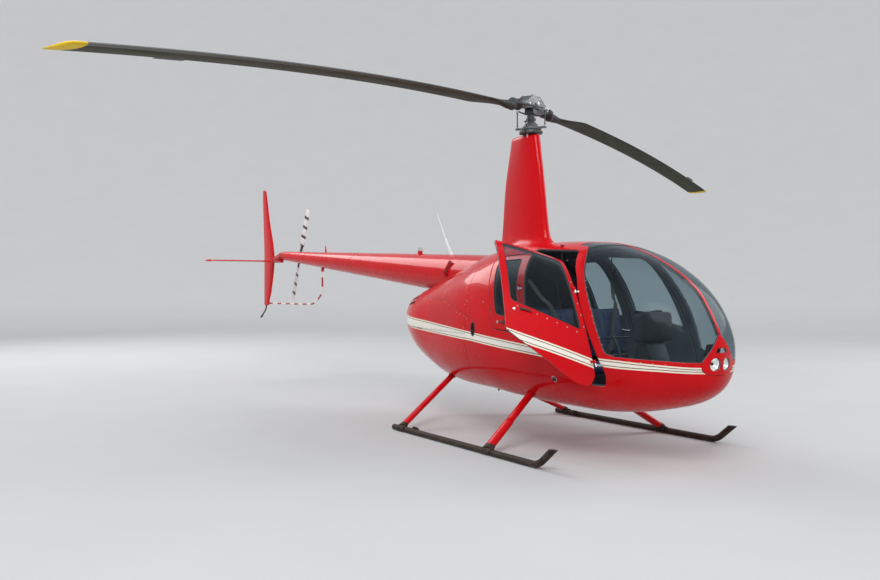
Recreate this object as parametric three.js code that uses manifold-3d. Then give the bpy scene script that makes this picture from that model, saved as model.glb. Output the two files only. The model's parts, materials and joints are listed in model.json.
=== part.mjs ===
// A four-seat light helicopter with a two-blade teetering rotor, parked on its skids.
// Millimetres. +X is forward, +Y is to the left, +Z is up. The origin lies on the ground,
// in the plane of symmetry, halfway between the nose and the tip of the tail skid.
import * as THREE from 'three';
import { mergeVertices } from 'three/addons/utils/BufferGeometryUtils.js';
import Module from 'manifold-3d';

const wasm = await Module();
wasm.setup();

// Driving dimensions. Lengths are measured from the rotor mast, and heights from a level just below the ground.
const noseReach = 2285; // from the mast forward to the nose
const tailReach = 6715; // from the mast back to the tip of the tail skid
const mastX = (tailReach - noseReach) / 2;
const gap = 0.3; // between pieces that touch
const running = 6; // round pieces that move
const hullCentre = { x: 135, z: 1000 };
const wallScale = { x: 0.986, y: 0.955, z: 0.96 }; // inner face of the cabin wall
const rotorRadius = 5030;
const rotorAzimuth = 112.9; // degrees from forward, turning to the left
const teeterHeight = 3190;
const teeterTilt = 0.52; // degrees, the right-hand blade hangs lower
const tailRotor = { x: -5880, y: 294, z: 1858, radius: 737, lean: 21.6 };
const skidY = 1050;
const skidRadius = 28.5;
const ground = 30; // level of the ground under the skids
const skidMiddle = ground + 26.5; // its underside is worn flat on the ground
const toe = { start: 1310, bend: 200, slope: 40, top: 205 }; // the skid's upturned front
const frontDoorOpen = 60; // degrees, as the right front door stands

const red = paint(0xb01016, 0.3, 0.05);
const glass = paint(0x5a6670, 0.1, 0.0);
const metal = paint(0x9a9ea2, 0.4, 0.8);
const darkMetal = paint(0x3a3c3e, 0.5, 0.6);
const black = paint(0x141416, 0.6, 0.0);
const olive = paint(0x3c3e36, 0.6, 0.1);
const leather = paint(0x232c44, 0.6, 0.0);
const carpet = paint(0x1d1e21, 0.9, 0.0);
const white = paint(0xe8e8e6, 0.4, 0.0);
const skidBrown = paint(0x35251f, 0.6, 0.3);
const striped = paint(0xc8403a, 0.45, 0.0);

const helicopter = new THREE.Group();
const airframe = new THREE.Group();
airframe.position.set(mastX, 0, -ground);
helicopter.add(airframe);

function paint(color, roughness, metalness) {
  return { color, roughness, metalness };
}

// Adds a named mesh to a group. The shape is a geometry or a solid that has been cut.
function add(name, finish, shape, parent = airframe) {
  const geometry = shape.isBufferGeometry ? shape : geometryOf(shape);
  const mesh = new THREE.Mesh(geometry, new THREE.MeshStandardMaterial(finish));
  mesh.name = name;
  parent.add(mesh);
  return mesh;
}

function solidOf(geometry) {
  const plain = geometry.clone();
  plain.deleteAttribute('normal');
  plain.deleteAttribute('uv');
  const merged = mergeVertices(plain, 1e-3);
  const vertProperties = new Float32Array(merged.attributes.position.array);
  const triVerts = new Uint32Array(merged.index.array);
  return new wasm.Manifold(new wasm.Mesh({ numProp: 3, vertProperties, triVerts }));
}

function geometryOf(solid) {
  const mesh = solid.getMesh();
  const geometry = new THREE.BufferGeometry();
  geometry.setAttribute('position', new THREE.BufferAttribute(new Float32Array(mesh.vertProperties), 3));
  geometry.setIndex(new THREE.BufferAttribute(new Uint32Array(mesh.triVerts), 1));
  return geometry;
}

function joined(...geometries) {
  return geometries.map(asSolid).reduce((a, b) => a.add(b));
}

function asSolid(shape) {
  return shape.isBufferGeometry ? solidOf(shape) : shape;
}

function cut(shape, ...tools) {
  return tools.map(asSolid).reduce((a, b) => a.subtract(b), asSolid(shape));
}

function common(shape, other) {
  return asSolid(shape).intersect(asSolid(other));
}

// A closed skin through rings that all have the same number of points.
function loft(rings) {
  const count = rings[0].length;
  const points = rings.flat();
  const faces = [];
  for (let r = 0; r + 1 < rings.length; r++) {
    for (let i = 0; i < count; i++) {
      const a = r * count + i;
      const b = r * count + (i + 1) % count;
      faces.push(a, b, b + count, a, b + count, a + count);
    }
  }
  const middle = (ring) => ring.reduce((sum, p) => sum.add(p), new THREE.Vector3()).divideScalar(count);
  const first = points.push(middle(rings[0])) - 1;
  const last = points.push(middle(rings[rings.length - 1])) - 1;
  const end = (rings.length - 1) * count;
  for (let i = 0; i < count; i++) {
    faces.push(first, (i + 1) % count, i);
    faces.push(last, end + i, end + (i + 1) % count);
  }
  const geometry = new THREE.BufferGeometry().setFromPoints(points);
  geometry.setIndex(volumeOf(points, faces) < 0 ? faces.reverse() : faces);
  return geometry;
}

function volumeOf(points, faces) {
  let volume = 0;
  for (let i = 0; i < faces.length; i += 3) {
    const [a, b, c] = [points[faces[i]], points[faces[i + 1]], points[faces[i + 2]]];
    volume += a.dot(new THREE.Vector3().crossVectors(b, c)) / 6;
  }
  return volume;
}

// An outline of [u, v, radius] corners, the radius rounding that corner.
function outline(corners) {
  const shape = new THREE.Shape();
  const at = corners.map(([u, v]) => new THREE.Vector2(u, v));
  corners.forEach(([, , radius = 0], i) => {
    const corner = at[i];
    const before = at[(i + at.length - 1) % at.length].clone().sub(corner).setLength(radius).add(corner);
    const after = at[(i + 1) % at.length].clone().sub(corner).setLength(radius).add(corner);
    if (i === 0) shape.moveTo(before.x, before.y);
    else shape.lineTo(before.x, before.y);
    if (radius > 0) shape.quadraticCurveTo(corner.x, corner.y, after.x, after.y);
  });
  shape.closePath();
  return shape;
}

const axisX = new THREE.Vector3(1, 0, 0);
const axisY = new THREE.Vector3(0, 1, 0);
const axisZ = new THREE.Vector3(0, 0, 1);

function prism(corners, depth) {
  return new THREE.ExtrudeGeometry(outline(corners), { depth, bevelEnabled: false, curveSegments: 3 });
}

// A side view outline in (x, z) carried from y0 to y1.
function sidePrism(corners, y0, y1) {
  const turn = new THREE.Matrix4().makeBasis(axisX, axisZ, axisY.clone().negate());
  return prism(corners, y1 - y0).applyMatrix4(turn).translate(0, y1, 0);
}

// A front view outline in (y, z) carried from x0 to x1.
function frontPrism(corners, x0, x1) {
  const turn = new THREE.Matrix4().makeBasis(axisY, axisZ, axisX);
  return prism(corners, x1 - x0).applyMatrix4(turn).translate(x0, 0, 0);
}

function box(x0, x1, y0, y1, z0, z1) {
  return new THREE.BoxGeometry(x1 - x0, y1 - y0, z1 - z0)
    .translate((x0 + x1) / 2, (y0 + y1) / 2, (z0 + z1) / 2);
}

function vector(point) {
  return point.isVector3 ? point.clone() : new THREE.Vector3(...point);
}

// A round bar between two points.
function rod(from, to, radiusFrom, radiusTo = radiusFrom, sides = 12) {
  const [a, b] = [vector(from), vector(to)];
  const turn = new THREE.Quaternion().setFromUnitVectors(axisY, b.clone().sub(a).normalize());
  return new THREE.CylinderGeometry(radiusTo, radiusFrom, a.distanceTo(b), sides)
    .applyQuaternion(turn).translate(...a.add(b).multiplyScalar(0.5).toArray());
}

// A round tube of constant radius along a smooth curve through points.
function bentRod(points, radius, steps, sides = 8) {
  const section = new THREE.Shape().absarc(0, 0, radius, 0, 2 * Math.PI);
  const extrudePath = new THREE.CatmullRomCurve3(points.map(vector), false, 'centripetal');
  return new THREE.ExtrudeGeometry(section, { extrudePath, steps, curveSegments: sides / 2, bevelEnabled: false });
}

// A ring of points, each placed by the cosine and sine of its angle.
function ellipseRing(count, place) {
  return Array.from({ length: count }, (_, i) => {
    const angle = (i * 2 * Math.PI) / count;
    return new THREE.Vector3(...place(Math.cos(angle), Math.sin(angle)));
  });
}

// An elliptical spar between two points, its long axis kept fore and aft.
function spar(from, to, chord, thickness, sides = 16) {
  const a = new THREE.Vector3(...from);
  const b = new THREE.Vector3(...to);
  const across = new THREE.Vector3().crossVectors(b.clone().sub(a), axisX).normalize();
  const ring = (centre) => Array.from({ length: sides }, (_, i) => {
    const angle = (i * 2 * Math.PI) / sides;
    return centre.clone()
      .addScaledVector(axisX, (chord / 2) * Math.cos(angle))
      .addScaledVector(across, (thickness / 2) * Math.sin(angle));
  });
  return loft([ring(a), ring(b)]);
}

// The fuselage: each station is one rounded section, fuller as its exponents grow.
const stations = [
  { x: 2285, bottom: 900, top: 960, half: 8, wide: 930, upper: 2.0, lower: 2.0 },
  { x: 2265, bottom: 762, top: 1075, half: 117, wide: 930, upper: 2.1, lower: 2.05 },
  { x: 2200, bottom: 639, top: 1215, half: 266, wide: 930, upper: 2.15, lower: 2.2 },
  { x: 2050, bottom: 543, top: 1425, half: 386, wide: 950, upper: 2.15, lower: 2.3 },
  { x: 1800, bottom: 468, top: 1600, half: 519, wide: 980, upper: 2.25, lower: 2.45 },
  { x: 1500, bottom: 411, top: 1735, half: 600, wide: 1000, upper: 2.4, lower: 2.5 },
  { x: 1150, bottom: 382, top: 1822, half: 638, wide: 1000, upper: 2.5, lower: 2.5 },
  { x: 700, bottom: 382, top: 1847, half: 645, wide: 1000, upper: 2.6, lower: 2.5 },
  { x: 200, bottom: 394, top: 1850, half: 641, wide: 1000, upper: 2.6, lower: 2.5 },
  { x: -300, bottom: 418, top: 1785, half: 606, wide: 1000, upper: 2.4, lower: 2.4 },
  { x: -700, bottom: 426, top: 1680, half: 548, wide: 1000, upper: 2.2, lower: 2.35 },
  { x: -1100, bottom: 468, top: 1565, half: 480, wide: 1010, upper: 2.1, lower: 2.15 },
  { x: -1450, bottom: 572, top: 1460, half: 425, wide: 1030, upper: 2.0, lower: 1.95 },
  { x: -1750, bottom: 670, top: 1370, half: 318, wide: 1060, upper: 2.1, lower: 1.8 },
  { x: -1930, bottom: 835, top: 1300, half: 208, wide: 1080, upper: 2.2, lower: 1.85 },
  { x: -2000, bottom: 990, top: 1200, half: 95, wide: 1100, upper: 2.1, lower: 1.95 },
  { x: -2015, bottom: 1085, top: 1115, half: 8, wide: 1100, upper: 2.0, lower: 2.0 },
];
const hullSides = 36;

function hullRing(station) {
  return Array.from({ length: hullSides }, (_, i) => {
    const angle = (i * 2 * Math.PI) / hullSides;
    const [c, s] = [Math.cos(angle), Math.sin(angle)];
    const power = 2 / (s >= 0 ? station.upper : station.lower);
    const reach = s >= 0 ? station.top - station.wide : station.wide - station.bottom;
    const y = station.half * Math.sign(c) * Math.abs(c) ** power;
    const z = station.wide + reach * Math.sign(s) * Math.abs(s) ** power;
    return new THREE.Vector3(station.x, y, z);
  });
}

// The fuselage form drawn in towards its middle: depth 0 is the outside, 1 the wall's inner face.
function hull(depth) {
  const { x, z } = hullCentre;
  const scale = (full) => 1 - depth * (1 - full);
  return solidOf(loft(stations.map(hullRing)).translate(-x, 0, -z)
    .scale(scale(wallScale.x), scale(wallScale.y), scale(wallScale.z)).translate(x, 0, z));
}

// Half the width of the fuselage at a place on its side.
function hullHalfWidth(x, z) {
  const i = stations.findIndex((s) => s.x <= x);
  const [a, b] = [stations[i - 1], stations[i]];
  const t = (x - a.x) / (b.x - a.x);
  const at = (key) => a[key] + t * (b[key] - a[key]);
  const above = z >= at('wide');
  const rise = (z - at('wide')) / ((above ? at('top') : at('bottom')) - at('wide'));
  const power = above ? at('upper') : at('lower');
  return at('half') * (1 - Math.min(1, rise) ** power) ** (1 / power);
}

const outside = hull(0);
const inside = hull(1);
const paneOuter = hull(0.08);
const paneInner = hull(0.3);
const lining = hull(1.02); // touches the inner face with the usual gap
const wall = outside.subtract(inside);
const pane = paneOuter.subtract(paneInner);

// Moves every corner of an outline away from its middle, or towards it.
function grown(corners, by) {
  const points = corners.map(([u, v]) => new THREE.Vector2(u, v));
  const area = points.reduce((sum, p, i) => sum + p.cross(points[(i + 1) % points.length]), 0);
  const side = Math.sign(area) * by;
  return corners.map(([, , radius = 0], i) => {
    const corner = points[i];
    const into = corner.clone().sub(points[(i + points.length - 1) % points.length]).normalize();
    const out = points[(i + 1) % points.length].clone().sub(corner).normalize();
    const half = into.clone().add(out).normalize();
    const reach = side / half.dot(into);
    return [corner.x + half.y * reach, corner.y - half.x * reach, Math.max(0, radius + by)];
  });
}

// Door and window outlines in side view, with the radius of each corner.
const frontDoor = [
  [818, 925, 25], [930, 878, 30], [1440, 672, 60], [1575, 672, 45], [1597, 762, 25], [1520, 925, 0],
  [1240, 1510, 0], [1128, 1748, 40], [530, 1772, 30],
];
const frontDoorWindow = [
  [796, 1175, 35], [1394, 1090, 25], [1205, 1500, 30], [1108, 1712, 60], [600, 1735, 40],
];
const rearDoor = [[262, 1062, 30], [716, 1030, 30], [572, 1440, 0], [472, 1735, 30], [36, 1708, 50]];
const rearDoorWindow = [[287, 1190, 40], [632, 1160, 40], [548, 1400, 0], [452, 1690, 40], [128, 1672, 60]];
const windshieldSide = [
  [985, 2000, 0], [985, 1800, 0], [1120, 1790, 60], [1215, 1700, 60], [1300, 1560, 0], [1478, 1250, 0],
  [1610, 925, 30], [1700, 902, 0], [2250, 880, 0], [2400, 880, 0], [2400, 2000, 0],
];
// Some corners of a door swing back or down as it leaves its frame, so the doorway is wider there.
const frontDoorRoom = { 2: [0, -14], 3: [0, -14], 5: [6, 0], 6: [6, 0], 8: [-56, 2] };
const rearDoorRoom = { 1: [8, -8], 4: [-20, 2] };
function doorway(corners, room) {
  return grown(corners, running).map(([x, z, radius], i) => {
    const [dx, dz] = room[i] ?? [0, 0];
    return [x + dx, z + dz, radius];
  });
}

// The nose piece is a shield seen from the front; the divider runs up from its top corner.
const noseShield = [
  [0, 1105, 0], [180, 882, 15], [178, 812, 40], [105, 780, 30],
  [-105, 780, 30], [-178, 812, 40], [-180, 882, 15],
];
const noseShieldX = 1900; // the shield is cut from the skin ahead of this
const dividerHalf = 14;
const roofEdge = { x: 985, z: 1700 };
const bulkheadX = -235; // the wall between the cabin and the engine
const tubTop = { aft: 985, front: 860, bow: 1000 };
const postFootX = 1650;
const sides = [{ side: 'right', sign: -1 }, { side: 'left', sign: 1 }];
const far = 2500;

// The span in y from a distance beside the middle out past the skin, on one side.
function toSide(sign, from) {
  return sign < 0 ? [-far, -from] : [from, far];
}

const shieldCut = (by) => frontPrism(grown(noseShield, by), noseShieldX, far);
const dividerCut = (by) => box(roofEdge.x + gap, far, -dividerHalf - by, dividerHalf + by, tubTop.bow, far);
const windshieldHole = cut(sidePrism(windshieldSide, -far, far), shieldCut(0), dividerCut(0));
const doorways = sides.flatMap(({ sign }) => [
  sidePrism(doorway(frontDoor, frontDoorRoom), ...toSide(sign, 200)),
  sidePrism(doorway(rearDoor, rearDoorRoom), ...toSide(sign, 200)),
]);
const cabinShell = cut(wall, windshieldHole, ...doorways);

const tubRegion = sidePrism([[bulkheadX, 0], [far, 0], [far, tubTop.bow], [postFootX, tubTop.bow],
  [postFootX, tubTop.front], [770, tubTop.front], [770, tubTop.aft], [bulkheadX, tubTop.aft]], -far, far);
const postRegion = (sign) => sidePrism([
  [1190, roofEdge.z], [1100, roofEdge.z], [1100, 1500], [1300, tubTop.front + gap],
  [postFootX - gap, tubTop.front + gap], [postFootX - gap, 1000], [1400, 1500],
], ...toSide(sign, 100));
const sideRegion = (sign) => box(bulkheadX, 860, ...toSide(sign, 100), tubTop.aft + gap, roofEdge.z);
const roofRegion = box(bulkheadX, 1260, -far, far, roofEdge.z + gap, far);

// The landing lights sit in the shield below the air slot.
const lamps = sides.map(({ side, sign }) => ({ side, y: sign * 62, z: 864 }));
const lampRadius = 48;
const lampHoles = lamps.map(({ y, z }) => rod([2206, y, z], [far, y, z], lampRadius));
const lampPots = lamps.map(({ y, z }) => common(outside, rod([2190, y, z], [far, y, z], lampRadius + 6)));
const airSlot = frontPrism([[-62, 954], [62, 954], [47, 986], [-47, 986]], noseShieldX, far);

// Each door turns about the line through its two hinges, given as x, z and how far they stand off the skin.
const doorKinds = [
  {
    kind: 'front', corners: frontDoor, glassIn: frontDoorWindow,
    hinges: [[1566, 845, 50], [1280, 1420, 16]], carriers: ['cabin_tub', 'windshield_post'],
  },
  {
    kind: 'rear', corners: rearDoor, glassIn: rearDoorWindow,
    hinges: [[692, 1110, 14], [577, 1440, 14]], carriers: ['side_frame', 'side_frame'],
  },
];
const hinge = { radius: 8, length: 60, arm: 5, reach: 32, depth: 11 };
const fixedHinges = { cabin_tub: [] };

function skinPoint(x, z, sign, off) {
  return new THREE.Vector3(x, sign * (hullHalfWidth(x, z) + off), z);
}

// Half of one hinge: a barrel along the axis and the arm that carries it.
function hingeHalf(point, axis, sign, way) {
  const middle = point.clone().addScaledVector(axis, (-way * hinge.length) / 4);
  const from = point.clone().addScaledVector(axis, (-way * gap) / 2);
  const to = point.clone().addScaledVector(axis, (-way * hinge.length) / 2);
  const root = skinPoint(middle.x + way * hinge.reach, middle.z, sign, -hinge.depth);
  return joined(rod(from, to, hinge.radius, hinge.radius, 12), rod(middle, root, hinge.arm, hinge.arm, 10));
}

for (const { side, sign } of sides) {
  for (const { kind, corners, glassIn, hinges, carriers } of doorKinds) {
    const [low, high] = hinges.map(([x, z, standOff]) => skinPoint(x, z, sign, standOff));
    const axis = high.clone().sub(low).normalize();
    const panel = common(wall, sidePrism(corners, ...toSide(sign, 200)));
    let door = cut(panel, sidePrism(glassIn, ...toSide(sign, 200)));
    [low, high].forEach((point, i) => {
      door = door.add(hingeHalf(point, axis, sign, -1));
      const carrier = carriers[i] === 'cabin_tub' ? 'cabin_tub' : `${carriers[i]}_${side}`;
      fixedHinges[carrier] = [...(fixedHinges[carrier] ?? []), hingeHalf(point, axis, sign, 1)];
    });
    const hinged = new THREE.Group();
    hinged.position.copy(low);
    const open = side === 'right' && kind === 'front' ? frontDoorOpen : 0;
    hinged.quaternion.setFromAxisAngle(axis, THREE.MathUtils.degToRad(-sign * open));
    const closed = new THREE.Group();
    closed.position.copy(low).negate();
    hinged.add(closed);
    airframe.add(hinged);
    add(`${kind}_door_${side}`, red, door, closed);
    const glazing = common(pane, sidePrism(grown(glassIn, -gap), ...toSide(sign, 200)));
    add(`${kind}_door_window_${side}`, glass, glazing, closed);
  }
  const post = `windshield_post_${side}`;
  add(post, red, joined(common(cabinShell, postRegion(sign)), ...fixedHinges[post]));
  const frame = `side_frame_${side}`;
  add(frame, red, joined(common(cabinShell, sideRegion(sign)), ...fixedHinges[frame]));
  const screen = common(pane, sidePrism(grown(windshieldSide, -gap), ...toSide(sign, 0)));
  add(`windshield_${side}`, glass, cut(screen, shieldCut(gap), dividerCut(gap)));
}

add('cabin_tub', red, joined(cut(common(cabinShell, tubRegion), shieldCut(gap)), ...fixedHinges.cabin_tub));
add('nose_shield', red, cut(joined(common(wall, shieldCut(0)), ...lampPots), airSlot, ...lampHoles));
add('windshield_divider', red, cut(common(wall, dividerCut(0)), shieldCut(gap)));
add('cabin_roof', red, cut(common(cabinShell, roofRegion), dividerCut(gap)));

// Behind the bulkhead: two cowl halves over a belly, with louvres at the rear.
const cowlSeamZ = 985;
const tailcone = { from: [-520, 1512], to: [-5760, 1846], radiusFrom: 238, radiusTo: 66, wall: 5 };

// The middle and the radius of the tailcone at a place along it.
function coneAt(x, grow) {
  const t = (x - tailcone.from[0]) / (tailcone.to[0] - tailcone.from[0]);
  const z = tailcone.from[1] + t * (tailcone.to[1] - tailcone.from[1]);
  const radius = tailcone.radiusFrom + t * (tailcone.radiusTo - tailcone.radiusFrom);
  return { point: [x, 0, z], radius: radius + grow };
}

function coneBetween(x0, x1, grow, sides = 32) {
  const [a, b] = [coneAt(x0, grow), coneAt(x1, grow)];
  return rod(a.point, b.point, a.radius, b.radius, sides);
}
const tailconeHole = coneBetween(-400, -2400, gap);
const louvres = Array.from({ length: 4 }, (_, i) => {
  const z = 1215 + 52 * i;
  return sidePrism([[-1590, z + 28], [-1845, z - 8], [-1845, z + 14], [-1590, z + 52]], -far, far);
});
for (const { side, sign } of sides) {
  const region = box(-far, bulkheadX - gap, ...toSide(sign, gap / 2), cowlSeamZ + gap, far);
  add(`engine_cowl_${side}`, red, cut(common(wall, region), tailconeHole, ...louvres));
}
const exhaust = rod([-1150, 150, 600], [-1205, 150, 432], 32);
add('engine_belly', red, joined(common(wall, box(-far, bulkheadX - gap, -far, far, 0, cowlSeamZ)), exhaust));

// Cabin floor, firewall and seats.
const floorZ = { bottom: 496, top: 508 };
const floorFront = 1760;
const firewall = { from: bulkheadX + 1, to: bulkheadX + 21 };
const floorSlab = box(firewall.to + 1, floorFront, -far, far, floorZ.bottom, floorZ.top);
add('cabin_floor', carpet, common(lining, floorSlab));
add('firewall', black, common(lining, box(firewall.from, firewall.to, -far, far, 0, far)));
const engine = { rear: -1120, front: -520, half: 260, bottom: 640, top: 1090 };
const engineBlock = box(engine.rear, engine.front, -engine.half, engine.half, engine.bottom, engine.top);
const engineBeam = (y) => box(engine.front - 20, firewall.from - gap, y - 20, y + 20, 720, 760);
add('engine', darkMetal, joined(engineBlock, engineBeam(-200), engineBeam(200)));

const seatFoot = floorZ.top + gap;
const seatWall = 12;
const frontShell = [[700, seatFoot], [1180, seatFoot], [1230, 700], [760, 690], [640, 1180], [590, 1170]];
const frontHollow = [[720, 0], [1168, 0], [1214, 688], [740, 676], [745, 640], [715, 560]];
const rearShell = [[-208, seatFoot], [420, seatFoot], [470, 700], [-5, 690], [-125, 1180], [-205, 1180]];
const rearHollow = [[-190, 0], [408, 0], [456, 688], [-21, 677], [-132, 1150], [-190, 1150]];
function seatShell(shell, hollow, y0, y1) {
  return cut(sidePrism(shell, y0, y1), sidePrism(hollow, y0 + seatWall, y1 - seatWall));
}
const frontBases = sides.map(({ sign }) => seatShell(frontShell, frontHollow, sign * 280 - 220, sign * 280 + 220));
const stickBox = box(760, 1150, -70, 70, seatFoot, 640);
add('front_seat_base', carpet, common(lining, joined(...frontBases, stickBox)));
add('rear_seat_base', carpet, common(lining, seatShell(rearShell, rearHollow, -540, 540)));
const cushion = [[766, 691, 0], [1222, 701 + gap, 0], [1240, 770, 30], [1180, 800, 30], [775, 775, 20]];
const seatBack = [
  [738 + gap, 780, 0], [860, 790, 30], [735, 1265, 34], [660, 1275, 34], [640 + gap, 1180, 0],
];
const seatParts = [
  { name: 'front_seat_cushion_right', corners: cushion, y: [-500, -70], back: 0 },
  { name: 'front_seat_cushion_left', corners: cushion, y: [70, 500], back: 0 },
  { name: 'rear_seat_cushion', corners: cushion, y: [-530, 530], back: 765 },
  { name: 'front_seat_back_right', corners: seatBack, y: [-500, -70], back: 0 },
  { name: 'front_seat_back_left', corners: seatBack, y: [70, 500], back: 0 },
  { name: 'rear_seat_back', corners: seatBack, y: [-480, 480], back: 765 },
];
for (const { name, corners, y, back } of seatParts) {
  add(name, leather, sidePrism(corners, ...y).translate(-back, 0, 0));
}

// Controls: the centre console, the central stick with its cross bar, and the pedals.
const pedestal = [
  [1290, seatFoot], [1690, seatFoot], [1720, 760], [1600, 1010], [1520, 1010], [1420, 700], [1290, 640],
];
const panel = [[-190, 1000, 20], [190, 1000, 20], [170, 1240, 40], [-170, 1240, 40]];
add('console', black, joined(sidePrism(pedestal, -110, 110), frontPrism(panel, 1530, 1640)));
const stickTop = [1130, 0, 1010];
add('cyclic_stick', black, joined(
  bentRod([[1230, 0, seatFoot + 1], [1235, 0, 700], [1200, 0, 900], stickTop], 14, 12),
  rod([1130, -330, 1000], [1130, 330, 1000], 12),
  rod([1130, -330, 985], [1130, -330, 1090], 18), rod([1130, 330, 985], [1130, 330, 1090], 18)));
const pedal = (y) => joined(rod([1740, y, 640], [1690, y, 620], 9), box(1670, 1690, y - 35, y + 35, 585, 665));
const pedalShaft = rod([1740, -350, 640], [1740, 350, 640], 12);
const pedalPost = box(1728, 1752, -20, 20, seatFoot, 640);
add('pedals', metal, joined(...[-330, -180, 180, 330].map(pedal), pedalShaft, pedalPost));

// The mast fairing: streamlined sections from the roof to its cap.
const fairingSections = [
  { z: 1700, front: 330, rear: -520, half: 150 },
  { z: 1870, front: 285, rear: -470, half: 118 },
  { z: 1980, front: 258, rear: -440, half: 104 },
  { z: 2420, front: 192, rear: -392, half: 92 },
  { z: 2860, front: 118, rear: -300, half: 84 },
  { z: 2900, front: 100, rear: -285, half: 74 },
];
const fairingSides = 28;
// A teardrop: round in front, running out to a thin edge behind.
function fairingRing({ z, front, rear, half }) {
  return ellipseRing(fairingSides, (c, s) => {
    const along = (1 + c) / 2;
    return [rear + (front - rear) * along, half * s * (0.35 + 0.95 * along - 0.3 * along * along), z];
  });
}
const mast = { radius: 38, foot: 2700, play: 3 };
const swash = { from: 2905, to: 2945, radius: 112 };
const fairingBore = mast.radius + mast.play;
add('mast_fairing', red, cut(
  loft(fairingSections.map(fairingRing)),
  hull(-0.008),
  coneBetween(-400, -1500, gap),
  rod([0, 0, mast.foot - gap], [0, 0, 3000], fairingBore, fairingBore, 20),
));

// Tailcone, its rear casting, the fin, the stabiliser and the tail guard.
add('tailcone', red, cut(coneBetween(-520, -5760, 0), coneBetween(-510, -5770, -tailcone.wall)));
const castingSections = [
  { x: -5740, halfY: 58, halfZ: 58, z: 1845 },
  { x: -5768, halfY: 65, halfZ: 65, z: 1846 },
  { x: -5900, halfY: 62, halfZ: 60, z: 1846 },
  { x: -6020, halfY: 40, halfZ: 44, z: 1832 },
  { x: -6190 + gap, halfY: 24, halfZ: 34, z: 1812 },
];
function castingBody(grow) {
  return loft(castingSections.map(({ x, halfY, halfZ, z }) => (
    ellipseRing(20, (c, s) => [x, (halfY + grow) * c, z + (halfZ + grow) * s]))));
}
const tailShaftCase = rod([tailRotor.x, 0, tailRotor.z], [tailRotor.x, 190, tailRotor.z], 42, 30);
const stabiliserSeat = box(-6150, -5885, -20, 20, 1748, 1810);
const tailconeEnd = coneBetween(-5000, -5760 - gap, gap);
add('tail_gearbox', red, cut(joined(castingBody(0), tailShaftCase, stabiliserSeat), tailconeEnd));

// A thin symmetric aerofoil in plan at a height, as a ring of points.
function finRing({ z, front, rear, half }) {
  return ellipseRing(16, (c, s) => {
    const along = (1 + c) / 2;
    return [rear + (front - rear) * along, half * s * (0.2 + 0.8 * along), z];
  });
}
const finSections = [
  { z: 1083, front: -6400, rear: -6580, half: 14 },
  { z: 1330, front: -6295, rear: -6580, half: 20 },
  { z: 1758, front: -6192, rear: -6580, half: 26 },
  { z: 1812, front: -6190, rear: -6580, half: 26 },
  { z: 2895, front: -6510, rear: -6645, half: 12 },
];
const tailSkidPath = [[-6500, 0, 1110], [-6508, 0, 1040], [-6560, 0, 990], [-6705, 0, 893]];
add('tail_fin', red, joined(loft(finSections.map(finRing)), bentRod(tailSkidPath, 11, 12)));
const stabiliser = { front: -5845, rear: -6188, tip: -1110, z: 1768, thick: 30 };
const stabiliserPlate = loft([-20 - gap, stabiliser.tip].map((y) => ellipseRing(16, (c, s) => {
  const along = (1 + c) / 2;
  const x = stabiliser.rear + (stabiliser.front - stabiliser.rear) * along;
  return [x, y, stabiliser.z + (stabiliser.thick / 2) * s * (0.25 + 0.75 * along)];
})));
add('stabiliser', red, cut(stabiliserPlate, coneBetween(-5700, -5765, gap), castingBody(gap)));
const guardPath = [
  [-4500, 0, 1640], [-4545, 10, 1590], [-4580, 30, 1430], [-4700, 60, 1270], [-5050, 80, 1140],
  [-5700, 60, 1128], [-6392, 0, 1122],
];
add('tail_guard', striped, cut(bentRod(guardPath, 13, 26), coneBetween(-4300, -4800, gap),
  loft(finSections.map(finRing)).translate(gap, 0, 0)));

// The main rotor. The mast turns, and the hub teeters on a pin across the blades.
const turning = new THREE.Group();
turning.rotation.z = THREE.MathUtils.degToRad(rotorAzimuth);
airframe.add(turning);
const teetering = new THREE.Group();
teetering.position.z = teeterHeight;
teetering.rotation.y = THREE.MathUtils.degToRad(-teeterTilt);
turning.add(teetering);

function upright(z0, z1, radius, y = 0, sides = 20) {
  return rod([0, y, z0], [0, y, z1], radius, radius, sides);
}
const mastBore = upright(2800, 3000, mast.radius + mast.play);
add('swashplate', metal, cut(joined(
  upright(2900 + gap, swash.from, 60),
  upright(swash.from, swash.to, swash.radius),
), mastBore));
const pin = { radius: 11, play: 1 };
const link = { y: 150, radius: 9, top: 3150 };
const pinHole = rod([0, -80, teeterHeight], [0, 80, teeterHeight], pin.radius + pin.play);
add('rotor_mast', metal, cut(joined(
  upright(mast.foot, 3140, mast.radius),
  upright(swash.to + gap, 2978, 102),
  upright(2962, link.top, link.radius, -link.y, 10),
  upright(2962, link.top, link.radius, link.y, 10),
  box(-30, 30, -160, 160, 2955, 2975),
  box(-44, 44, -48, -28, 3100, 3215),
  box(-44, 44, 28, 48, 3100, 3215),
  box(-44, 44, -48, 48, 3100, 3140),
), pinHole), turning);

// The hub in its own frame: blades along +X and -X, the pin along Y, heights from the pin.
const bladeRoot = 262;
const hubPlate = [
  [-bladeRoot, -48], [-120, -40], [-60, -26], [60, -26], [120, -40], [bladeRoot, -48],
  [bladeRoot, -6], [120, 8], [60, 40], [-60, 40], [-120, 8], [-bladeRoot, -6],
];
add('rotor_hub', metal, joined(
  sidePrism(hubPlate, -22, 22),
  rod([0, -60, 0], [0, 60, 0], pin.radius),
  rod([0, 0, 30], [0, 0, 88], 34, 26, 20),
), teetering);

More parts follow.
